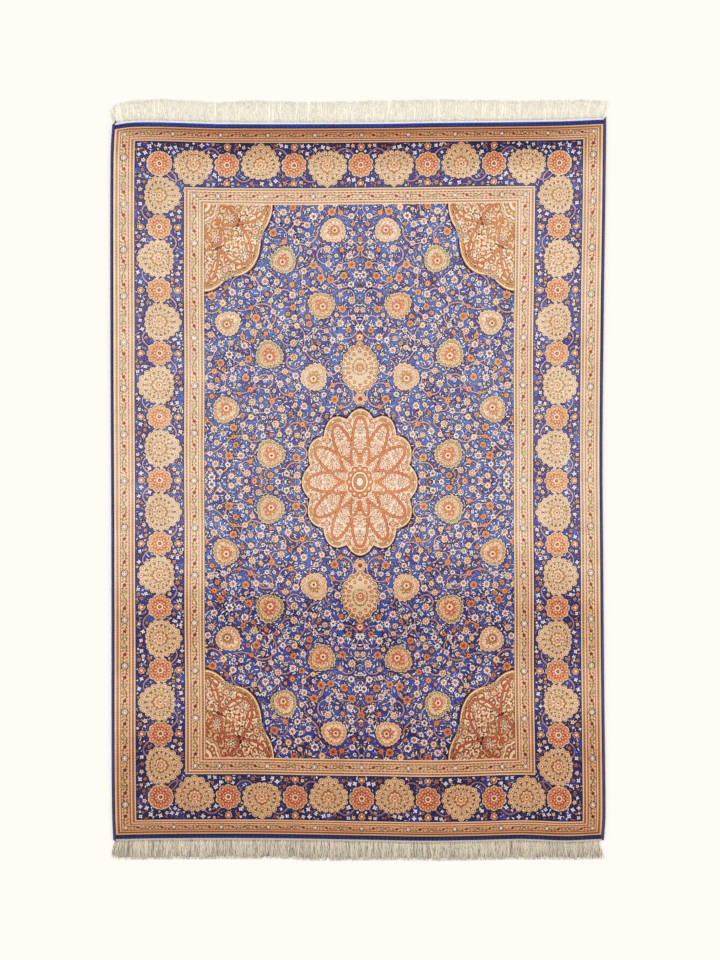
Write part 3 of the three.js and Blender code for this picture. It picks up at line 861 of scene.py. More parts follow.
def add_attribute(piece, name, kind, domain, values):
    """Writes an attribute: one value for each face or point of a piece."""
    attribute = piece.data.attributes.new(name, kind, domain)
    field = {"FLOAT": "value", "FLOAT_COLOR": "color"}[kind]
    attribute.data.foreach_set(field, np.asarray(values, np.float32).ravel())


def grid_faces(rows, columns, closed_columns=False, first=0):
    """Quads between neighbours of a grid of points, row by row, and round each row if it is closed."""
    row, column = np.meshgrid(np.arange(rows - 1), np.arange(columns - (not closed_columns)), indexing="ij")
    ahead = (column + 1) % columns
    a, b = row * columns + column, row * columns + ahead
    return np.stack([a, b, b + columns, a + columns], -1).reshape(-1, 4) + first


def add_node(tree, kind, inputs=(), links=(), **settings):
    """Adds a node with its settings, the values of its own sockets and the nodes or sockets that feed them.
    A node feeds a socket by its first output."""
    node = tree.nodes.new(kind)
    for name, value in settings.items():
        setattr(node, name, value)
    for socket, value in dict(inputs).items():
        node.inputs[socket].default_value = value
    for socket, source in dict(links).items():
        output = source.outputs[0] if isinstance(source, bpy.types.Node) else source
        tree.links.new(output, node.inputs[socket])
    return node


def new_material(name):
    """An empty node material and its tree."""
    material = bpy.data.materials.new(name)
    material.use_nodes = True
    material.node_tree.nodes.clear()
    return material, material.node_tree


def object_noise(tree, scales, detail=2.0, turn=0.0):
    """Noise on Object coordinates, with its own scale along each axis in cycles a metre."""
    coords = add_node(tree, "ShaderNodeTexCoord")
    mapping = add_node(tree, "ShaderNodeMapping", {"Scale": scales, "Rotation": (0, 0, turn)},
                       {"Vector": coords.outputs["Object"]})
    return add_node(tree, "ShaderNodeTexNoise", {"Scale": 1.0, "Detail": detail, "Roughness": 0.55},
                    {"Vector": mapping.outputs["Vector"]})


def span(low, high, to_low=0.0, to_high=1.0):
    """Settings that carry a value evenly from one range to another."""
    return {"From Min": low, "From Max": high, "To Min": to_low, "To Max": to_high}


def two_tones(dark, light):
    """Settings that blend one colour into another."""
    return {6: (*linear(dark), 1), 7: (*linear(light), 1)}


def finish_material(tree, colour, height, bump, roughness, sheen, sheen_roughness, specular=0.5,
                    distance=0.001):
    """Principled shader with a linked colour, a bump from a height and all else set on its own sockets."""
    relief = add_node(tree, "ShaderNodeBump", {"Strength": bump, "Distance": distance}, {"Height": height})
    shader = add_node(tree, "ShaderNodeBsdfPrincipled",
                      {"Roughness": roughness, "Sheen Weight": sheen, "Sheen Roughness": sheen_roughness,
                       "Specular IOR Level": specular, "IOR": 1.54},
                      {"Base Color": colour, "Normal": relief})
    add_node(tree, "ShaderNodeOutputMaterial", (), {"Surface": shader})


# Painted shade of the silk's sheen, fixed in the colour: where the pile's colour deepens along the length,
# start and end in metres, and what the power grows by (below nought it lightens)
HEAD_PAINTED_SHADE = ((0.68, 0.72, 0.18), (0.79, 0.84, 0.85), (0.84, 0.90, 1.25))
FOOT_PAINTED_SHADE = ((-0.12, -0.34, 0.50), (-0.27, -0.31, 0.22), (-0.41, -0.46, -0.18), (-0.58, -0.70, 0.62),
              (-0.75, -0.87, 0.15), (-0.87, -0.90, 0.52))
# Painted shade: how far the pile is dimmed from one power to another, and how the head end deepens less
# away from the middle
SHADE_BY_DEPTH = (1.1, 2.6, 1.0, 0.81)
HEAD_MIDDLE = (0.40, 0.60, 1.0, 0.45)


def clipped_silk_pile():
    """Clipped silk pile: cut filament tips catch the light softly, lean a little and vary from weft to weft.

    The knots are 1.5 mm apart, so each shows as a faint cell. Dye lots run across the loom, so shade changes
    slowly along the length and hardly across. Where the pile leans towards the eye its colour looks deeper
    and more saturated; this sheen is painted shade, fixed in the colour and not made by the light: the colour
    is raised to a power over 1 and dimmed, at the head end, over the foot half and in clouds.
    """
    material, tree = new_material("clipped_silk_pile")
    yarn = add_node(tree, "ShaderNodeAttribute", attribute_name="yarn", attribute_type="GEOMETRY")
    dye = object_noise(tree, (1.2, 26, 1), 3.0)
    lay_sheen_clouds = object_noise(tree, (12, 8, 1), 3.0, 0.5)
    coords = add_node(tree, "ShaderNodeTexCoord")
    cells = add_node(tree, "ShaderNodeTexVoronoi", {"Scale": 1 / 0.0016, "Randomness": 0.45},
                     {"Vector": coords.outputs["Object"]})
    place = add_node(tree, "ShaderNodeSeparateXYZ", (), {"Vector": coords.outputs["Object"]})
    # Painted sheen and shade in clouds: a slow noise sets the power that deepens the colour, as where the
    # pile leans
    depth = add_node(tree, "ShaderNodeMapRange", span(0.3, 0.7, 0.92, 1.27), {"Value": lay_sheen_clouds})
    aside = add_node(tree, "ShaderNodeMath", (), {0: place.outputs["X"]}, operation="ABSOLUTE")
    middle = add_node(tree, "ShaderNodeMapRange", span(*HEAD_MIDDLE), {"Value": aside})
    # Painted shade along the length, weaker at the head away from the middle
    for steps, share in ((HEAD_PAINTED_SHADE, middle), (FOOT_PAINTED_SHADE, None)):
        for start, end, rise in steps:
            part = add_node(tree, "ShaderNodeMapRange", span(start, end, 0.0, rise),
                            {"Value": place.outputs["Y"]})
            if share is not None:
                part = add_node(tree, "ShaderNodeMath", (), {0: part, 1: share}, operation="MULTIPLY")
            depth = add_node(tree, "ShaderNodeMath", (), {0: depth, 1: part})
    # Painted shade: the yarn's colour raised to that power, and dimmed as the power grows
    deep = add_node(tree, "ShaderNodeGamma", (), {"Color": yarn.outputs["Color"], "Gamma": depth})
    painted_dimming = add_node(tree, "ShaderNodeMapRange", span(*SHADE_BY_DEPTH), {"Value": depth})
    dye_value = add_node(tree, "ShaderNodeMapRange", span(0.3, 0.7, 0.85, 0.98), {"Value": dye})
    cell_tone = add_node(tree, "ShaderNodeSeparateColor", (), {"Color": cells.outputs["Color"]})
    cell_value = add_node(tree, "ShaderNodeMapRange", span(0.0, 1.0, 0.90, 1.08),
                          {"Value": cell_tone.outputs["Red"]})
    product = dye_value
    for factor in (cell_value, painted_dimming):
        product = add_node(tree, "ShaderNodeMath", (), {0: product, 1: factor}, operation="MULTIPLY")
    shade = add_node(tree, "ShaderNodeHueSaturation", {"Saturation": 0.93}, {"Color": deep, "Value": product})
    finish_material(tree, shade, cells.outputs["Distance"], bump=0.2, roughness=0.6, sheen=0.12,
                    sheen_roughness=0.35, specular=0.2, distance=0.0006)
    return material


def woven_foundation():
    """Bare silk warps and wefts of the carpet's back and cut edge: a fine ribbed weave, drawn 3 mm coarse."""
    material, tree = new_material("woven_silk_foundation")
    coords = add_node(tree, "ShaderNodeTexCoord")
    warp, weft = (
        add_node(tree, "ShaderNodeTexWave", {"Scale": 1 / 0.003 / 6.283, "Distortion": 0.4},
                 {"Vector": coords.outputs["Object"]}, bands_direction=axis) for axis in "XY")
    height = add_node(tree, "ShaderNodeMath", (), {0: warp.outputs["Fac"], 1: weft.outputs["Fac"]},
                      operation="MULTIPLY")
    tone = add_node(tree, "ShaderNodeMix", two_tones("#3B3560", "#8C6F62"), {0: height}, data_type="RGBA")
    finish_material(tree, tone.outputs[2], height, bump=0.4, roughness=0.75, sheen=0.1, sheen_roughness=0.4)
    return material


def wrapped_silk_yarn(name, dark, light, streak=900.0):
    """Dyed silk yarn wrapped or plied: soft gloss, with painted shade in the grooves and painted highlight
    where filaments turn up.
    """
    material, tree = new_material(name)
    wrap = add_node(tree, "ShaderNodeAttribute", attribute_name="wrap", attribute_type="GEOMETRY")
    drift = object_noise(tree, (9, 9, 9), 3.0)
    fibre = object_noise(tree, (streak, streak, streak), 2.0)
    # Half the tone is the painted shade and highlight that the pieces give in wrap; drift and fibre vary it
    # at random
    mixed = add_node(tree, "ShaderNodeMath", {1: 0.5}, {0: wrap.outputs["Fac"]}, operation="MULTIPLY")
    for source, share in ((drift, 0.55), (fibre, 0.25)):
        mixed = add_node(tree, "ShaderNodeMath", {1: share}, {0: source.outputs["Fac"], 2: mixed},
                         operation="MULTIPLY_ADD")
    tone = add_node(tree, "ShaderNodeMapRange", span(0.35, 0.95), {"Value": mixed})
    colour = add_node(tree, "ShaderNodeMix", two_tones(dark, light), {0: tone}, data_type="RGBA")
    finish_material(tree, colour.outputs[2], fibre.outputs["Fac"], bump=0.3, roughness=0.5, sheen=0.12,
                    sheen_roughness=0.4, specular=0.25, distance=0.0004)
    return material


def undyed_warp_yarn(name, dark, light):
    """Undyed warp ends: matt off-white fibre, each strand a little different, with painted shade near its
    root and in gaps beside it.
    """
    material, tree = new_material(name)
    tone = add_node(tree, "ShaderNodeAttribute", attribute_name="wrap", attribute_type="GEOMETRY")
    fibre = object_noise(tree, (1400, 120, 400), 2.0)
    mixed = add_node(tree, "ShaderNodeMath", {1: 0.35}, {0: fibre.outputs["Fac"], 2: tone.outputs["Fac"]},
                     operation="MULTIPLY_ADD")
    share = add_node(tree, "ShaderNodeMapRange", span(0.1, 1.1), {"Value": mixed})
    colour = add_node(tree, "ShaderNodeMix", two_tones(dark, light), {0: share}, data_type="RGBA")
    finish_material(tree, colour.outputs[2], fibre.outputs["Fac"], bump=0.25, roughness=0.8, sheen=0.2,
                    sheen_roughness=0.5, specular=0.3, distance=0.0004)
    return material


def plain_paper():
    """Smooth matt studio paper under the carpet, pale and warm."""
    material, tree = new_material("matt_studio_paper")
    grain = object_noise(tree, (300, 300, 300), 2.0)
    tone = add_node(tree, "ShaderNodeMix", two_tones("#F5F2EE", "#F7F4F0"), {0: grain.outputs["Fac"]},
                    data_type="RGBA")
    finish_material(tree, tone.outputs[2], grain.outputs["Fac"], bump=0.02, roughness=0.9, sheen=0.0,
                    sheen_roughness=0.5, specular=0.2)
    return material


# The pile's breadths, the segments of a breadth's map and the margin round each as a share of it. Then the
# longest rectangle in knots, and what is added to a yarn's number for each zone that rectangles keep within
BREADTHS = 6
SEGMENTS = 3
MAP_MARGIN = 0.004
BLOCK = 24
ZONE_CODE = 32


def row_waver(across, up):
    """How far knots lie off an even grid: slow sines of both shares, worn down to nothing at the edges."""
    hold = (16 * across * (1 - across) * up * (1 - up)) ** 0.5
    aside = np.sin(11 * up + 3 * across) + 0.6 * np.sin(27 * up + 5 * np.sin(4 * across))
    ahead = np.sin(9 * across + 2 * up) + 0.6 * np.sin(23 * across + 4 * np.sin(5 * up))
    return WAVER * hold[..., None] * np.stack([aside, ahead], -1)


def knot_breadth(yarn, index, palette, material):
    """One lengthwise breadth of the pile: its rectangles laid between the carpet's edges, corners shared.

    The outermost line of knots has rectangles of its own, for the pile is rounded off there, and none is
    longer than a block of knots, for the edges curve. Its map folds the breadth into three segments side by
    side, so that the knots keep their shape in it.
    """
    rows, columns = yarn.shape
    row, column = np.mgrid[:rows, :columns]
    inward = np.minimum(np.minimum(row, rows - 1 - row), np.minimum(column, columns - 1 - column))
    zone = (np.minimum(inward, 1) + 2 * ((row // BLOCK + column // BLOCK) % 2)).astype(np.uint8)
    first, end = round(index * columns / BREADTHS), round((index + 1) * columns / BREADTHS)
    parts, corner_map = [], []
    for segment in range(SEGMENTS):
        low, high = round(segment * rows / SEGMENTS), round((segment + 1) * rows / SEGMENTS)
        runs = knot_runs((yarn + ZONE_CODE * zone)[low:high, first:end])
        runs[:, 4] %= ZONE_CODE
        runs[:, :2] += first
        runs[:, 2:4] += low
        parts.append(runs)
        corners = runs[:, [0, 1, 1, 0]], runs[:, [2, 2, 3, 3]]
        across = (corners[0] - first) / (end - first) * (1 - 2 * MAP_MARGIN) + MAP_MARGIN
        along = (corners[1] - low) / (high - low) * (1 - 2 * MAP_MARGIN) + MAP_MARGIN
        corner_map.append(np.stack([(segment + across) / SEGMENTS, along], -1))
    runs = np.concatenate(parts)
    corner = (runs[:, [2, 2, 3, 3]] * (columns + 1) + runs[:, [0, 1, 1, 0]]).ravel()
    used, faces = np.unique(corner, return_inverse=True)
    across, up = used % (columns + 1) / columns, used // (columns + 1) / rows
    shifted = across + DESIGN_SHIFT / CARPET_WIDTH * (1 - np.abs(2 * across - 1) ** 3)
    place = OUTLINE.place(shifted, up) + row_waver(across, up)
    points = np.column_stack([place, pile_height(place, shifted, up)])
    faces = [faces.reshape(-1, 4)]
    piece = add_piece(f"silk_pile_{index + 1}", points, faces, material, "carpet")
    shades = np.column_stack([np.asarray(palette)[runs[:, 4]], np.ones(len(runs))])
    add_attribute(piece, "yarn", "FLOAT_COLOR", "FACE", shades)
    layer = piece.data.uv_layers.new(name="OFBake")
    layer.uv.foreach_set("vector", np.concatenate(corner_map).astype(np.float32).ravel())
    return piece


SLAB_COLUMNS, SLAB_ROWS = 40, 56


def foundation_slab(material):
    """The foundation as one closed body just under the pile's tips: an upper and a lower grid, joined all
    round, the upper one rounded off at the edge as the pile is."""
    step = np.concatenate([[0, 0.0013], np.linspace(0.004, 0.996, SLAB_COLUMNS), [0.9987, 1]])
    rise = np.concatenate([[0, 0.0009], np.linspace(0.003, 0.997, SLAB_ROWS), [0.9991, 1]])
    up, across = np.meshgrid(rise, step, indexing="ij")
    place = OUTLINE.place(across, up)
    top = pile_height(place, across, up) - SLAB_SINK
    rows, columns = up.shape
    upper = np.dstack([place, top]).reshape(-1, 3)
    lower = np.dstack([place, np.zeros_like(top)]).reshape(-1, 3)
    count = rows * columns
    rim = np.concatenate([
        np.arange(columns - 1), np.arange(rows - 1) * columns + columns - 1,
        count - 1 - np.arange(columns - 1), count - columns - np.arange(rows - 1) * columns,
    ])
    ahead = np.roll(rim, -1)
    wall = np.stack([rim + count, ahead + count, ahead, rim], 1)
    faces = [grid_faces(rows, columns), grid_faces(rows, columns, first=count)[:, ::-1], wall]
    points = np.vstack([upper, lower])
    return add_piece("foundation", points, faces, material, "carpet", smooth=False)


def swept_skin(centres, left, profiles):
    """A closed tube: at each station a ring of (across, up) points, across by the left axis and up by z, with
    a point at the middle of each end to close it. Returns places and faces."""
    stations, sides = profiles.shape[:2]
    across = profiles[..., :1] * np.array(left)
    rings = centres[:, None, :] + across + profiles[..., 1:] * np.array([0.0, 0.0, 1.0])
    points = np.vstack([rings.reshape(-1, 3), rings[0].mean(0), rings[-1].mean(0)])
    tube = grid_faces(stations, sides, True)
    side = np.arange(sides)
    ahead = (side + 1) % sides
    start = np.stack([ahead, side, np.full(sides, stations * sides)], 1)
    last = (stations - 1) * sides
    end = np.stack([side + last, ahead + last, np.full(sides, stations * sides + 1)], 1)
    return points, [tube, np.vstack([start, end])]


def join_skins(skins):
    """Several (places, faces) as one, with like faces gathered."""
    places, by_size, first = [], {}, 0
    for points, faces in skins:
        places.append(points)
        for part in faces:
            by_size.setdefault(part.shape[1], []).append(part + first)
        first += len(points)
    return np.vstack(places), [np.vstack(parts) for parts in by_size.values()]


# Corners of a side cord's ring, length of one wrap, and how far it sinks between wraps as a share of its size
CORD_SIDES = 10
WRAP_PITCH = 2.6 * MM
WRAP_DEPTH = 0.07


def outwards(faces, sign):
    """Faces of a skin swept at the head (sign 1) or the foot (sign -1), turned so that they look outwards."""
    return [part[:, ::-1] for part in faces] if sign > 0 else faces


def node_stations(name, axis):
    """Stations along a node that runs by x or y: the place, then the least and greatest place across and the
    height there."""
    points = node_points(name)
    rows = []
    for at in np.unique(np.round(points[:, axis], 5)):
        ring = points[np.abs(points[:, axis] - at) < 2e-5]
        aside = ring[:, 1 - axis]
        rows.append([at, aside.min(), aside.max(), ring[:, 2].max()])
    return np.array(rows)


def side_cord(side, material):
    """An overcast side cord: an oval ring swept along the edge, swelling and sinking once for each wrap."""
    rows = node_stations(f"side_cord_{side}", 1)
    rows[:, 1], rows[:, 2] = (rows[:, 1] + rows[:, 2]) / 2, rows[:, 2] - rows[:, 1]
    count = int(np.ptp(rows[:, 0]) / WRAP_PITCH * 2)
    y = np.linspace(rows[0, 0], rows[-1, 0], count)
    x, width, height = (read_off(rows, y, column) for column in (1, 2, 3))
    angle = np.linspace(0, 2 * np.pi, CORD_SIDES, endpoint=False) + 0.3
    wrap = np.tile([1.0, 1 - WRAP_DEPTH], count // 2 + 1)[:count, None]
    chance = np.random.default_rng(SEED + (side == "left"))
    swell = wrap * (1 + 0.03 * chance.normal(size=(count, 1)))
    across = 0.5 * width[:, None] * np.cos(angle) * swell
    up = np.maximum(0.5 * height[:, None] * (1 + np.sin(angle) * swell), 0)
    slant = 0.35 * WRAP_PITCH * np.sin(angle)
    profiles = np.stack([across, np.minimum(up, height[:, None])], -1)
    centres = np.column_stack([x, y, np.zeros(count)])
    points, faces = swept_skin(centres, (-1, 0, 0), profiles)
    points[: count * CORD_SIDES, 1] += np.tile(slant, count)
    # Painted shade and highlight: each swelling station of a wrap light, each sunk one dark
    wrap_shade_and_highlight = np.append(np.repeat(np.tile([1.0, 0.0], count // 2 + 1)[:count], CORD_SIDES), [0.5, 0.5])
    skins, tones = [(points, faces)], [wrap_shade_and_highlight]
    for tail in THREAD_TAILS:
        if tail["side"] == side:
            skin = thread_tail(centres[-1 if tail["end"] == "head" else 0], tail)
            skins.append(skin)
            tones.append(np.full(len(skin[0]), 0.2))
    places, all_faces = join_skins(skins)
    return add_piece(f"overcast_cord_{side}", places, all_faces, material,
                     f"side_cord_{side}", np.concatenate(tones))


# Loose ends of the overcasting yarn at the corners: reach across, reach out and curl, in millimetres
THREAD_TAILS = (
    {"side": "left", "end": "head", "across": 5.0, "out": 11.0, "curl": 3.0},
    {"side": "left", "end": "head", "across": 9.0, "out": 5.5, "curl": -1.5},
    {"side": "right", "end": "head", "across": 2.5, "out": 7.0, "curl": 1.5},
    {"side": "left", "end": "foot", "across": 3.0, "out": 5.0, "curl": 1.0},
)
TAIL_STEPS, TAIL_SIDES, TAIL_RADIUS, TAIL_LIFT = 12, 5, 1.5 * MM, 1.9 * MM


def thread_tail(start, tail):
    """A loose yarn end: a bent line from the cord's end outwards over the fringe, as a thin tube."""
    share = np.linspace(0, 1, TAIL_STEPS)
    sign = 1 if tail["end"] == "head" else -1
    x = start[0] + MM * (tail["across"] * share**1.4 + tail["curl"] * np.sin(np.pi * share))
    y = start[1] + sign * MM * (tail["out"] * share - 2.5)
    z = TAIL_RADIUS + TAIL_LIFT * (1 - 0.3 * share)
    centres = np.column_stack([x, y, z])
    angle = np.linspace(0, 2 * np.pi, TAIL_SIDES, endpoint=False)
    size = TAIL_RADIUS * (1 - 0.45 * share)[:, None]
    profiles = np.stack([size * np.cos(angle), size * np.sin(angle)], -1)
    return swept_skin(centres, (-sign, 0, 0), profiles)


# Corners of an end cord's ring, length of a step and of half a turn of its plies, and depth between plies
BAND_SIDES, BAND_STEP, BAND_TWIST, PLY_DEPTH = 10, 2.4 * MM, 11 * MM, 0.12


def end_band(end, material):
    """Two cords side by side across an end, each of two plies: an oval ring whose outline has two lobes that
    turn with the twist."""
    rows = node_stations(f"end_band_{end}", 0)
    count = int(np.ptp(rows[:, 0]) / BAND_STEP)
    x = np.linspace(rows[0, 0], rows[-1, 0], count)
    low, high, height = (read_off(rows, x, column) for column in (1, 2, 3))
    angle = np.linspace(0, 2 * np.pi, BAND_SIDES, endpoint=False)
    skins, tones = [], []
    for place, hand in ((0.25, 1), (0.75, -1)):
        turn = hand * x[:, None] / BAND_TWIST * np.pi
        plies = 1 - PLY_DEPTH * (1 - np.abs(np.cos(angle - turn)))
        across = 0.25 * (high - low)[:, None] * np.cos(angle) * plies
        up = 0.5 * height[:, None] * (1 + np.sin(angle) * plies)
        centres = np.column_stack([x, low + place * (high - low), np.zeros(count)])
        profiles = np.stack([across, up], -1)
        skins.append(swept_skin(centres, (0, 1, 0), profiles))
        # Painted shade and highlight: dark in the grooves between the plies, light on their crowns; the outer
        # cord a quarter lighter besides
        shade = (plies - 0.88) / PLY_DEPTH * 0.8 + 0.25 * (place == (0.75 if end == "head" else 0.25))
        tones.append(np.append(shade.ravel(), [0.5, 0.5]))
    places, faces = join_skins(skins)
    return add_piece(f"corded_band_{end}", places, faces, material, f"end_band_{end}",
                     np.concatenate(tones))


# Fringe by the place across the carpet, in millimetres: reach from the band's edge to the tips, and how far
# sideways a tip lies from its root, positive to the right
FRINGE_HEAD = (
    (-622, 38, -15), (-616, 48, -13), (-606, 54, -8), (-590, 57, -4), (-500, 61, 0), (-360, 57, 1),
    (-270, 62, 1), (-130, 58, 3), (160, 62, 2), (400, 56, 4), (560, 55, 8), (620, 49, 14),
)
FRINGE_FOOT = (
    (-622, 34, -15), (-616, 46, -12), (-606, 53, -7), (-580, 54, -2), (-380, 55, 0), (-200, 53, 1),
    (-120, 57, 1), (110, 51, 0), (420, 53, 0), (520, 50, 1), (590, 51, 3), (620, 53, 11),
)
# How each fringe lies: width of a bundle, how far strands draw towards its middle, greatest waver, painted
# shade at the root, and how unevenly the tips lean
FRINGE_LAY = {"head": (4.5, 0.15, 0.9, 0.45, 2.8), "foot": (8.0, 0.10, 1.9, 0.25, 5.0)}
# Strands of a fringe, stations along each, and the least and greatest lightness of a strand
STRANDS, STRAND_STEPS = 1850, 7
STRAND_TONE = {"head": (0.50, 1.0), "foot": (0.50, 0.95)}
# Painted shade between strands: share of the strands with a dark gap painted beside them somewhere along
# their length, and how dark the deepest is
STRAND_GAP_SHADE = {"head": (0.25, 0.60), "foot": (0.30, 1.10)}
# How far the mat of warp ends reaches, as a share of the fringe, and how light it is: ivory at the head, and
# at the foot dark, a sheet of painted shade under the strands
MAT_REACH = 0.88
MAT_TONE_AND_SHADE = {"head": 0.85, "foot": 0.15}
# From one dot of painted shade at the strands' roots to the next
ROOT_PITCH = 6.5 * MM
# The woven strip: its width, the gap before it, a step along it and its ribs
STRIP_WIDTH, STRIP_GAP = 4.4 * MM, 0.3 * MM
STRIP_STEP, STRIP_RIBS = 2.2 * MM, 3


def woven_strip(edge, sign):
    """The narrow woven strip: a closed ribbed skin, each rib a low arch, the warps a finer wave along it."""
    x = np.arange(edge[0, 0], edge[-1, 0], STRIP_STEP)
    base = read_off(edge, x, 1)
    share = np.linspace(0, 1, 2 * STRIP_RIBS + 1)
    arch = np.abs(np.sin(share * np.pi * STRIP_RIBS))
    top = 1.5 * MM + 0.9 * MM * arch[None, :] * (1 + 0.25 * np.sin(np.arange(len(x)) * 2.1)[:, None])
    out = STRIP_GAP + share * STRIP_WIDTH
    ring_out = np.concatenate([out, out[::-1][:: 2 * STRIP_RIBS]])
    rings = np.stack([np.tile(ring_out, (len(x), 1)), np.hstack([top, np.zeros((len(x), 2))])], -1)
    centres = np.column_stack([x, base, np.zeros(len(x))])
    points, faces = swept_skin(centres, (0, sign, 0), rings)
    return points, outwards(faces, sign)


def fringe_mat(edge, sign, table, chance):
    """The undermost warp ends, matted together: a closed thin skin with a ragged end, from the strip most of
    the way to the tips. Returns its places and faces."""
    x = np.arange(edge[0, 0] + 3 * MM, edge[-1, 0] - 3 * MM, 5 * MM)
    reach = read_off(table, x, 1) * (MAT_REACH + chance.normal(0, 0.025, len(x))) - STRIP_WIDTH
    share = np.array([0, 0.5, 1, 1, 0])
    out = STRIP_GAP + STRIP_WIDTH - 1 * MM + reach[:, None] * share
    up = np.array([1.1, 0.9, 0.4, 0.05, 0.05]) * MM * np.ones_like(out)
    centres = np.column_stack([x, read_off(edge, x, 1), np.zeros(len(x))])
    points, faces = swept_skin(centres, (0, sign, 0), np.stack([out, up], -1))
    lean = read_off(table, x, 2)
    points[: len(x) * 5, 0] += (lean[:, None] * share).ravel()
    return points, outwards(faces, sign)


def strands(end, edge, sign, table, chance):
    """Warp ends in one layer over another: thin three-sided strands that draw together in bundles.

    A strand runs out by reach * share and sideways by lean * share^1.2, or a lower power where it leans to
    the left, bends towards its bundle's middle by the draw * sin, wavers by a slow sine and sinks from its
    root height to the floor at its tip. Its tone carries painted shade: darker at its root, most of all in
    dots along the strip, some strands with a dark gap further out, and the lower layer darker than the upper.
    """
    count = STRANDS
    pitch, draw, slack, root_shade, stray = FRINGE_LAY[end]
    root = np.sort(chance.uniform(edge[0, 0] + 2 * MM, edge[-1, 0] - 2 * MM, count))
    layer = np.arange(count) % 2
    bundle = np.floor(root / (pitch * MM) + 0.3 * np.sin(root * 180))
    middle = (bundle + 0.5) * pitch * MM + 0.8 * MM * np.sin(bundle * 2.7)
    share = np.linspace(0, 1, STRAND_STEPS)[None, :]
    reach = read_off(table, root, 1) * (1.01 - np.abs(chance.normal(0, 0.06, count)))
    reach = (reach - STRIP_WIDTH + 1 * MM)[:, None]
    lean = read_off(table, root, 2) + chance.normal(0, stray, count) * MM
    waver = chance.uniform(0.1, slack, count)[:, None] * MM
    phase = (chance.uniform(0, 2 * np.pi, count) + bundle * 1.9)[:, None]
    pull = draw * np.sin(np.clip(share * 1.25, 0, 1) * np.pi / 2)
    onset = 1.2 - 0.75 * np.clip(-lean / (12 * MM), 0, 1)[:, None]
    x = root[:, None] + (middle - root)[:, None] * pull + lean[:, None] * share**onset
    x = x + waver * np.sin(share * 11 + phase)
    start = read_off(edge, root, 1)[:, None]
    y = start + sign * (STRIP_GAP + STRIP_WIDTH - 1 * MM + reach * share)
    radius = (0.62 * MM * (1 - 0.5 * share**2)) * chance.uniform(0.8, 1.2, count)[:, None]
    height = (0.9 + 0.4 * layer + chance.uniform(0, 0.3, count))[:, None] * MM
    z = radius * 0.5 + height * (1 - 0.6 * share**2) + 0.2 * MM * np.sin(share * 7 + phase)
    z = np.maximum(z, radius * 0.5)
    centres = np.stack([x, y, z], -1)
    angle = np.array([np.pi / 2, np.pi * 7 / 6, np.pi * 11 / 6])
    rings = np.repeat(centres[:, :, None, :], 3, 2)
    rings[..., 0] += radius[..., None] * np.cos(angle) * 1.15
    rings[..., 2] += radius[..., None] * np.sin(angle)
    points = rings.reshape(-1, 3)
    side = np.arange(3)
    ahead = (side + 1) % 3
    step = np.arange(STRAND_STEPS - 1)[:, None] * 3
    quads = np.stack([step + side, step + ahead, step + 3 + ahead, step + 3 + side], -1).reshape(-1, 4)
    tip = (STRAND_STEPS - 1) * 3
    caps = np.array([[0, 2, 1], [tip, tip + 1, tip + 2]])
    first = (np.arange(count) * STRAND_STEPS * 3)[:, None, None]
    faces = outwards([(quads + first).reshape(-1, 4), (caps + first).reshape(-1, 3)], sign)
    # Own tone at random; the lower layer painted darker, as shade under the upper one
    own = chance.uniform(*STRAND_TONE[end], count)[:, None] + 0.15 * layer[:, None]
    # Painted shade at the root, deepest in dots along the strip
    dots = 1 + 1.6 * (np.sin(2 * np.pi * root / ROOT_PITCH) > 0.5)[:, None]
    tone = own - root_shade * dots * (1 - np.clip(share * 6, 0, 1))
    # Painted shade of dark gaps between strands, somewhere along some of them
    often, deep = STRAND_GAP_SHADE[end]
    gap = deep * (chance.uniform(size=(count, 1)) < often) * chance.uniform(0.5, 1, (count, 1))
    tone = tone - gap * np.exp(-(((share - chance.uniform(0.25, 0.95, (count, 1))) / 0.13) ** 2))
    return (points, faces), np.repeat(np.broadcast_to(tone, (count, STRAND_STEPS)), 3)


def fringe(end, materials):
    """The woven strip, the matted warp ends and the strands over them, of one end."""
    sign = 1 if end == "head" else -1
    edge = node_stations(f"end_band_{end}", 0)[:, [0, 2 if sign > 0 else 1]]
    points, faces = woven_strip(edge, sign)
    chance = np.random.default_rng(SEED + 5 * sign)
    tones = chance.uniform(0.5, 0.9, len(points))
    add_piece(f"woven_strip_{end}", points, faces, materials[0], f"fringe_{end}", tones)
    table = np.array(FRINGE_HEAD if end == "head" else FRINGE_FOOT, float) * MM
    mat = fringe_mat(edge, sign, table, chance)
    skin, tone = strands(end, edge, sign, table, chance)
    points, faces = join_skins([mat, skin])
    # The mat's tone: light ivory at the head; at the foot a dark sheet, painted shade under the strands
    tones = np.append(np.full(len(mat[0]), MAT_TONE_AND_SHADE[end]), tone)
    add_piece(f"warp_fringe_{end}", points, faces, materials[1], f"fringe_{end}", tones)


class CarpetYarns(bpy.types.PropertyGroup):
    """Colours of the silk yarns that the pile is knotted from."""


for key, (label, words, colour) in YARNS.items():
    CarpetYarns.__annotations__[key] = bpy.props.FloatVectorProperty(
        name=label, description=words, subtype="COLOR", size=3, min=0.0, max=1.0, default=linear(colour))


class StudioSettings(bpy.types.PropertyGroup):
    """Camera and light of the studio."""

    camera_height: bpy.props.FloatProperty(
        name="Camera height", description="Height of the camera over the pile", default=4.5, unit="LENGTH")
    picture_height: bpy.props.FloatProperty(
        name="Picture height", description="Length of floor that the picture's height covers",
        default=2.4384, unit="LENGTH")
    aim: bpy.props.FloatVectorProperty(
        name="Aim", description="Place on the floor under the camera", size=2, default=(0.00166, -0.0009),
        unit="LENGTH")
    sky: bpy.props.FloatProperty(
        name="Soft light", description="Strength of the even light from all round", default=0.85, min=0.0)
    sun: bpy.props.FloatProperty(
        name="Broad sun", description="Strength of the soft light that comes from the head's left",
        default=0.90, min=0.0)


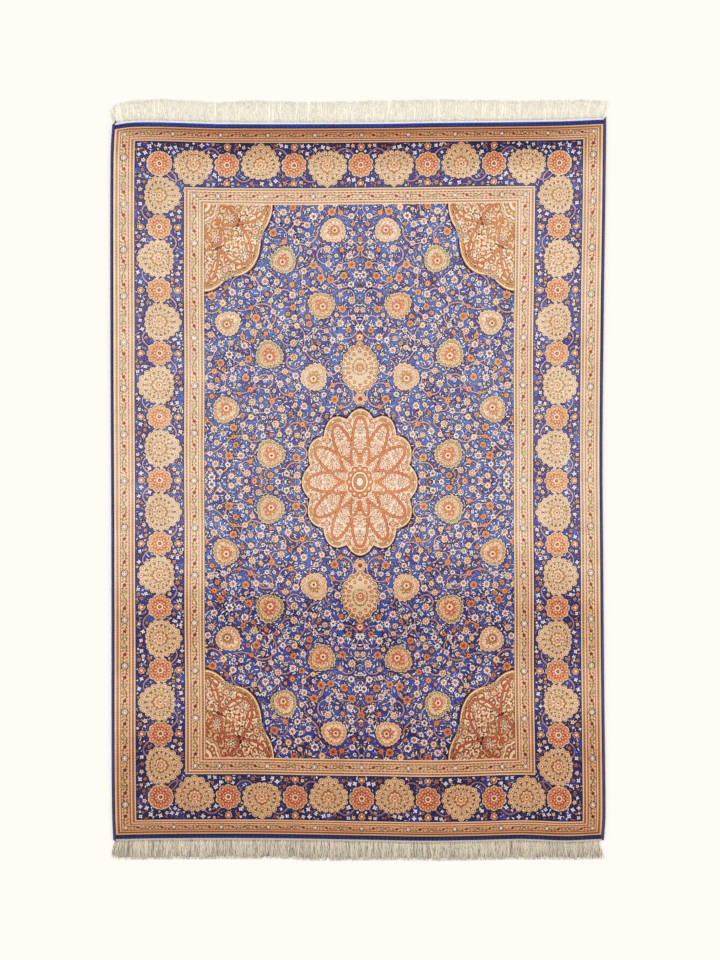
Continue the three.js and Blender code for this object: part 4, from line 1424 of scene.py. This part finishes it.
class KnotPile(bpy.types.Operator):
    """Knots the silk pile from the cartoon, in lengthwise breadths"""

    bl_idname = "carpet.knot_pile"
    bl_label = "Knot the silk pile"

    def execute(self, context):
        palette = [tuple(getattr(context.scene.carpet_yarns, key)) for key in YARNS]
        yarn = draw_cartoon()
        material = clipped_silk_pile()
        for index in range(BREADTHS):
            knot_breadth(yarn, index, palette, material)
        return {"FINISHED"}


class WrapSideCords(bpy.types.Operator):
    """Overcasts the cord down each side"""

    bl_idname = "carpet.wrap_side_cords"
    bl_label = "Wrap the side cords"

    def execute(self, context):
        material = wrapped_silk_yarn("overcast_navy_silk", "#1C183C", "#555083")
        for side in ("left", "right"):
            side_cord(side, material)
        return {"FINISHED"}


class WeaveEndBands(bpy.types.Operator):
    """Weaves the two blue cords across each end"""

    bl_idname = "carpet.weave_end_bands"
    bl_label = "Weave the end bands"

    def execute(self, context):
        end_band("head", wrapped_silk_yarn("plied_royal_silk", "#0A0D42", "#2C43A8"))
        end_band("foot", wrapped_silk_yarn("plied_navy_silk", "#080722", "#22245C"))
        return {"FINISHED"}


class HangFringes(bpy.types.Operator):
    """Makes the woven strip and the warp ends of each end"""

    bl_idname = "carpet.hang_fringes"
    bl_label = "Hang the fringes"

    def execute(self, context):
        strip = undyed_warp_yarn("flat_woven_warp_strip", "#DCDEE8", "#FFFFFF")
        fringe("head", (strip, undyed_warp_yarn("combed_ivory_warp", "#FCEFDB", "#FFFBEF")))
        # The foot's strip and warp ends are greyer than the head's; the foot warp's dark end carries the
        # painted shade of its mat, roots and gaps
        dull = undyed_warp_yarn("handled_woven_strip", "#8A858C", "#D8D2CA")
        fringe("foot", (dull, undyed_warp_yarn("handled_ivory_warp", "#544C40", "#F8ECD6")))
        return {"FINISHED"}


class LayFoundation(bpy.types.Operator):
    bl_idname = "carpet.lay_foundation"
    bl_label = "Lay the foundation"

    def execute(self, context):
        slab = foundation_slab(woven_foundation())
        names = [f"silk_pile_{index + 1}" for index in range(BREADTHS)]
        names += ["overcast_cord_left", "overcast_cord_right", "corded_band_head", "corded_band_foot"]
        names += ["woven_strip_head", "warp_fringe_head", "woven_strip_foot", "warp_fringe_foot"]
        return {"FINISHED"}


# The floor: its corners by sign, half its width, and its height, a little under the carpet
SQUARE = ((-1, -1), (1, -1), (1, 1), (-1, 1))
FLOOR_HALF, FLOOR_HEIGHT = 6.0, -0.0004
# The broad sun: how wide it looks and how it is turned, in radians, and its colour
SUN_WIDTH, SUN_TURN, SUN_COLOUR = 0.7, (-0.45, -0.30, 0), (1.0, 0.985, 0.96)


class SetStudio(bpy.types.Operator):
    """Sets the floor, the soft light and the camera straight above"""

    bl_idname = "carpet.set_studio"
    bl_label = "Set the studio"

    def execute(self, context):
        scene, studio = context.scene, context.scene.carpet_studio
        corners = np.array([[x * FLOOR_HALF, y * FLOOR_HALF, FLOOR_HEIGHT] for x, y in SQUARE])
        floor = bpy.data.objects.new("floor", make_mesh("floor", corners, [np.array([[0, 1, 2, 3]])]))
        floor.data.materials.append(plain_paper())
        scene.collection.objects.link(floor)
        world = bpy.data.worlds.new("soft_studio")
        world.use_nodes = True
        sky = world.node_tree.nodes["Background"].inputs
        sky["Color"].default_value = (1.0, 0.99, 0.975, 1)
        sky["Strength"].default_value = studio.sky
        scene.world = world
        lamp = bpy.data.lights.new("broad_sun", "SUN")
        lamp.energy, lamp.angle, lamp.color = studio.sun, SUN_WIDTH, SUN_COLOUR
        lamp_object = bpy.data.objects.new("broad_sun", lamp)
        lamp_object.rotation_euler = SUN_TURN
        scene.collection.objects.link(lamp_object)
        camera = bpy.data.cameras.new("camera")
        camera.sensor_width = 36.0
        camera.lens = camera.sensor_width * studio.camera_height / studio.picture_height
        camera_object = bpy.data.objects.new("camera", camera)
        camera_object.location = (*studio.aim, studio.camera_height + PILE_TOP)
        scene.collection.objects.link(camera_object)
        scene.camera = camera_object
        scene.view_settings.view_transform = "Standard"
        return {"FINISHED"}


class CarpetPanel(bpy.types.Panel):
    """Lists the carpet's yarns, studio and steps"""

    bl_idname = "CARPET_PT_make"
    bl_label = "Silk carpet"
    bl_space_type = "VIEW_3D"
    bl_region_type = "UI"
    bl_category = "Carpet"

    def draw(self, context):
        for step in STEPS:
            self.layout.operator(step.bl_idname)
        for group, keys in (
            (context.scene.carpet_yarns, YARNS),
            (context.scene.carpet_studio, StudioSettings.__annotations__),
        ):
            column = self.layout.column()
            for key in keys:
                column.prop(group, key)


STEPS = (KnotPile, WrapSideCords, WeaveEndBands, HangFringes, LayFoundation, SetStudio)
CLASSES = (CarpetYarns, StudioSettings, *STEPS, CarpetPanel)


def register():
    """Registers the classes and hangs the settings on the scene."""
    for made in CLASSES:
        bpy.utils.register_class(made)
    bpy.types.Scene.carpet_yarns = bpy.props.PointerProperty(type=CarpetYarns)
    bpy.types.Scene.carpet_studio = bpy.props.PointerProperty(type=StudioSettings)


def unregister():
    """Takes the settings and the classes away again."""
    del bpy.types.Scene.carpet_studio
    del bpy.types.Scene.carpet_yarns
    for made in reversed(CLASSES):
        bpy.utils.unregister_class(made)


def main():
    """Makes the carpet and its studio."""
    register()
    bpy.ops.carpet.knot_pile()
    bpy.ops.carpet.wrap_side_cords()
    bpy.ops.carpet.weave_end_bands()
    bpy.ops.carpet.hang_fringes()
    bpy.ops.carpet.lay_foundation()
    bpy.ops.carpet.set_studio()


if __name__ == "__main__":
    main()
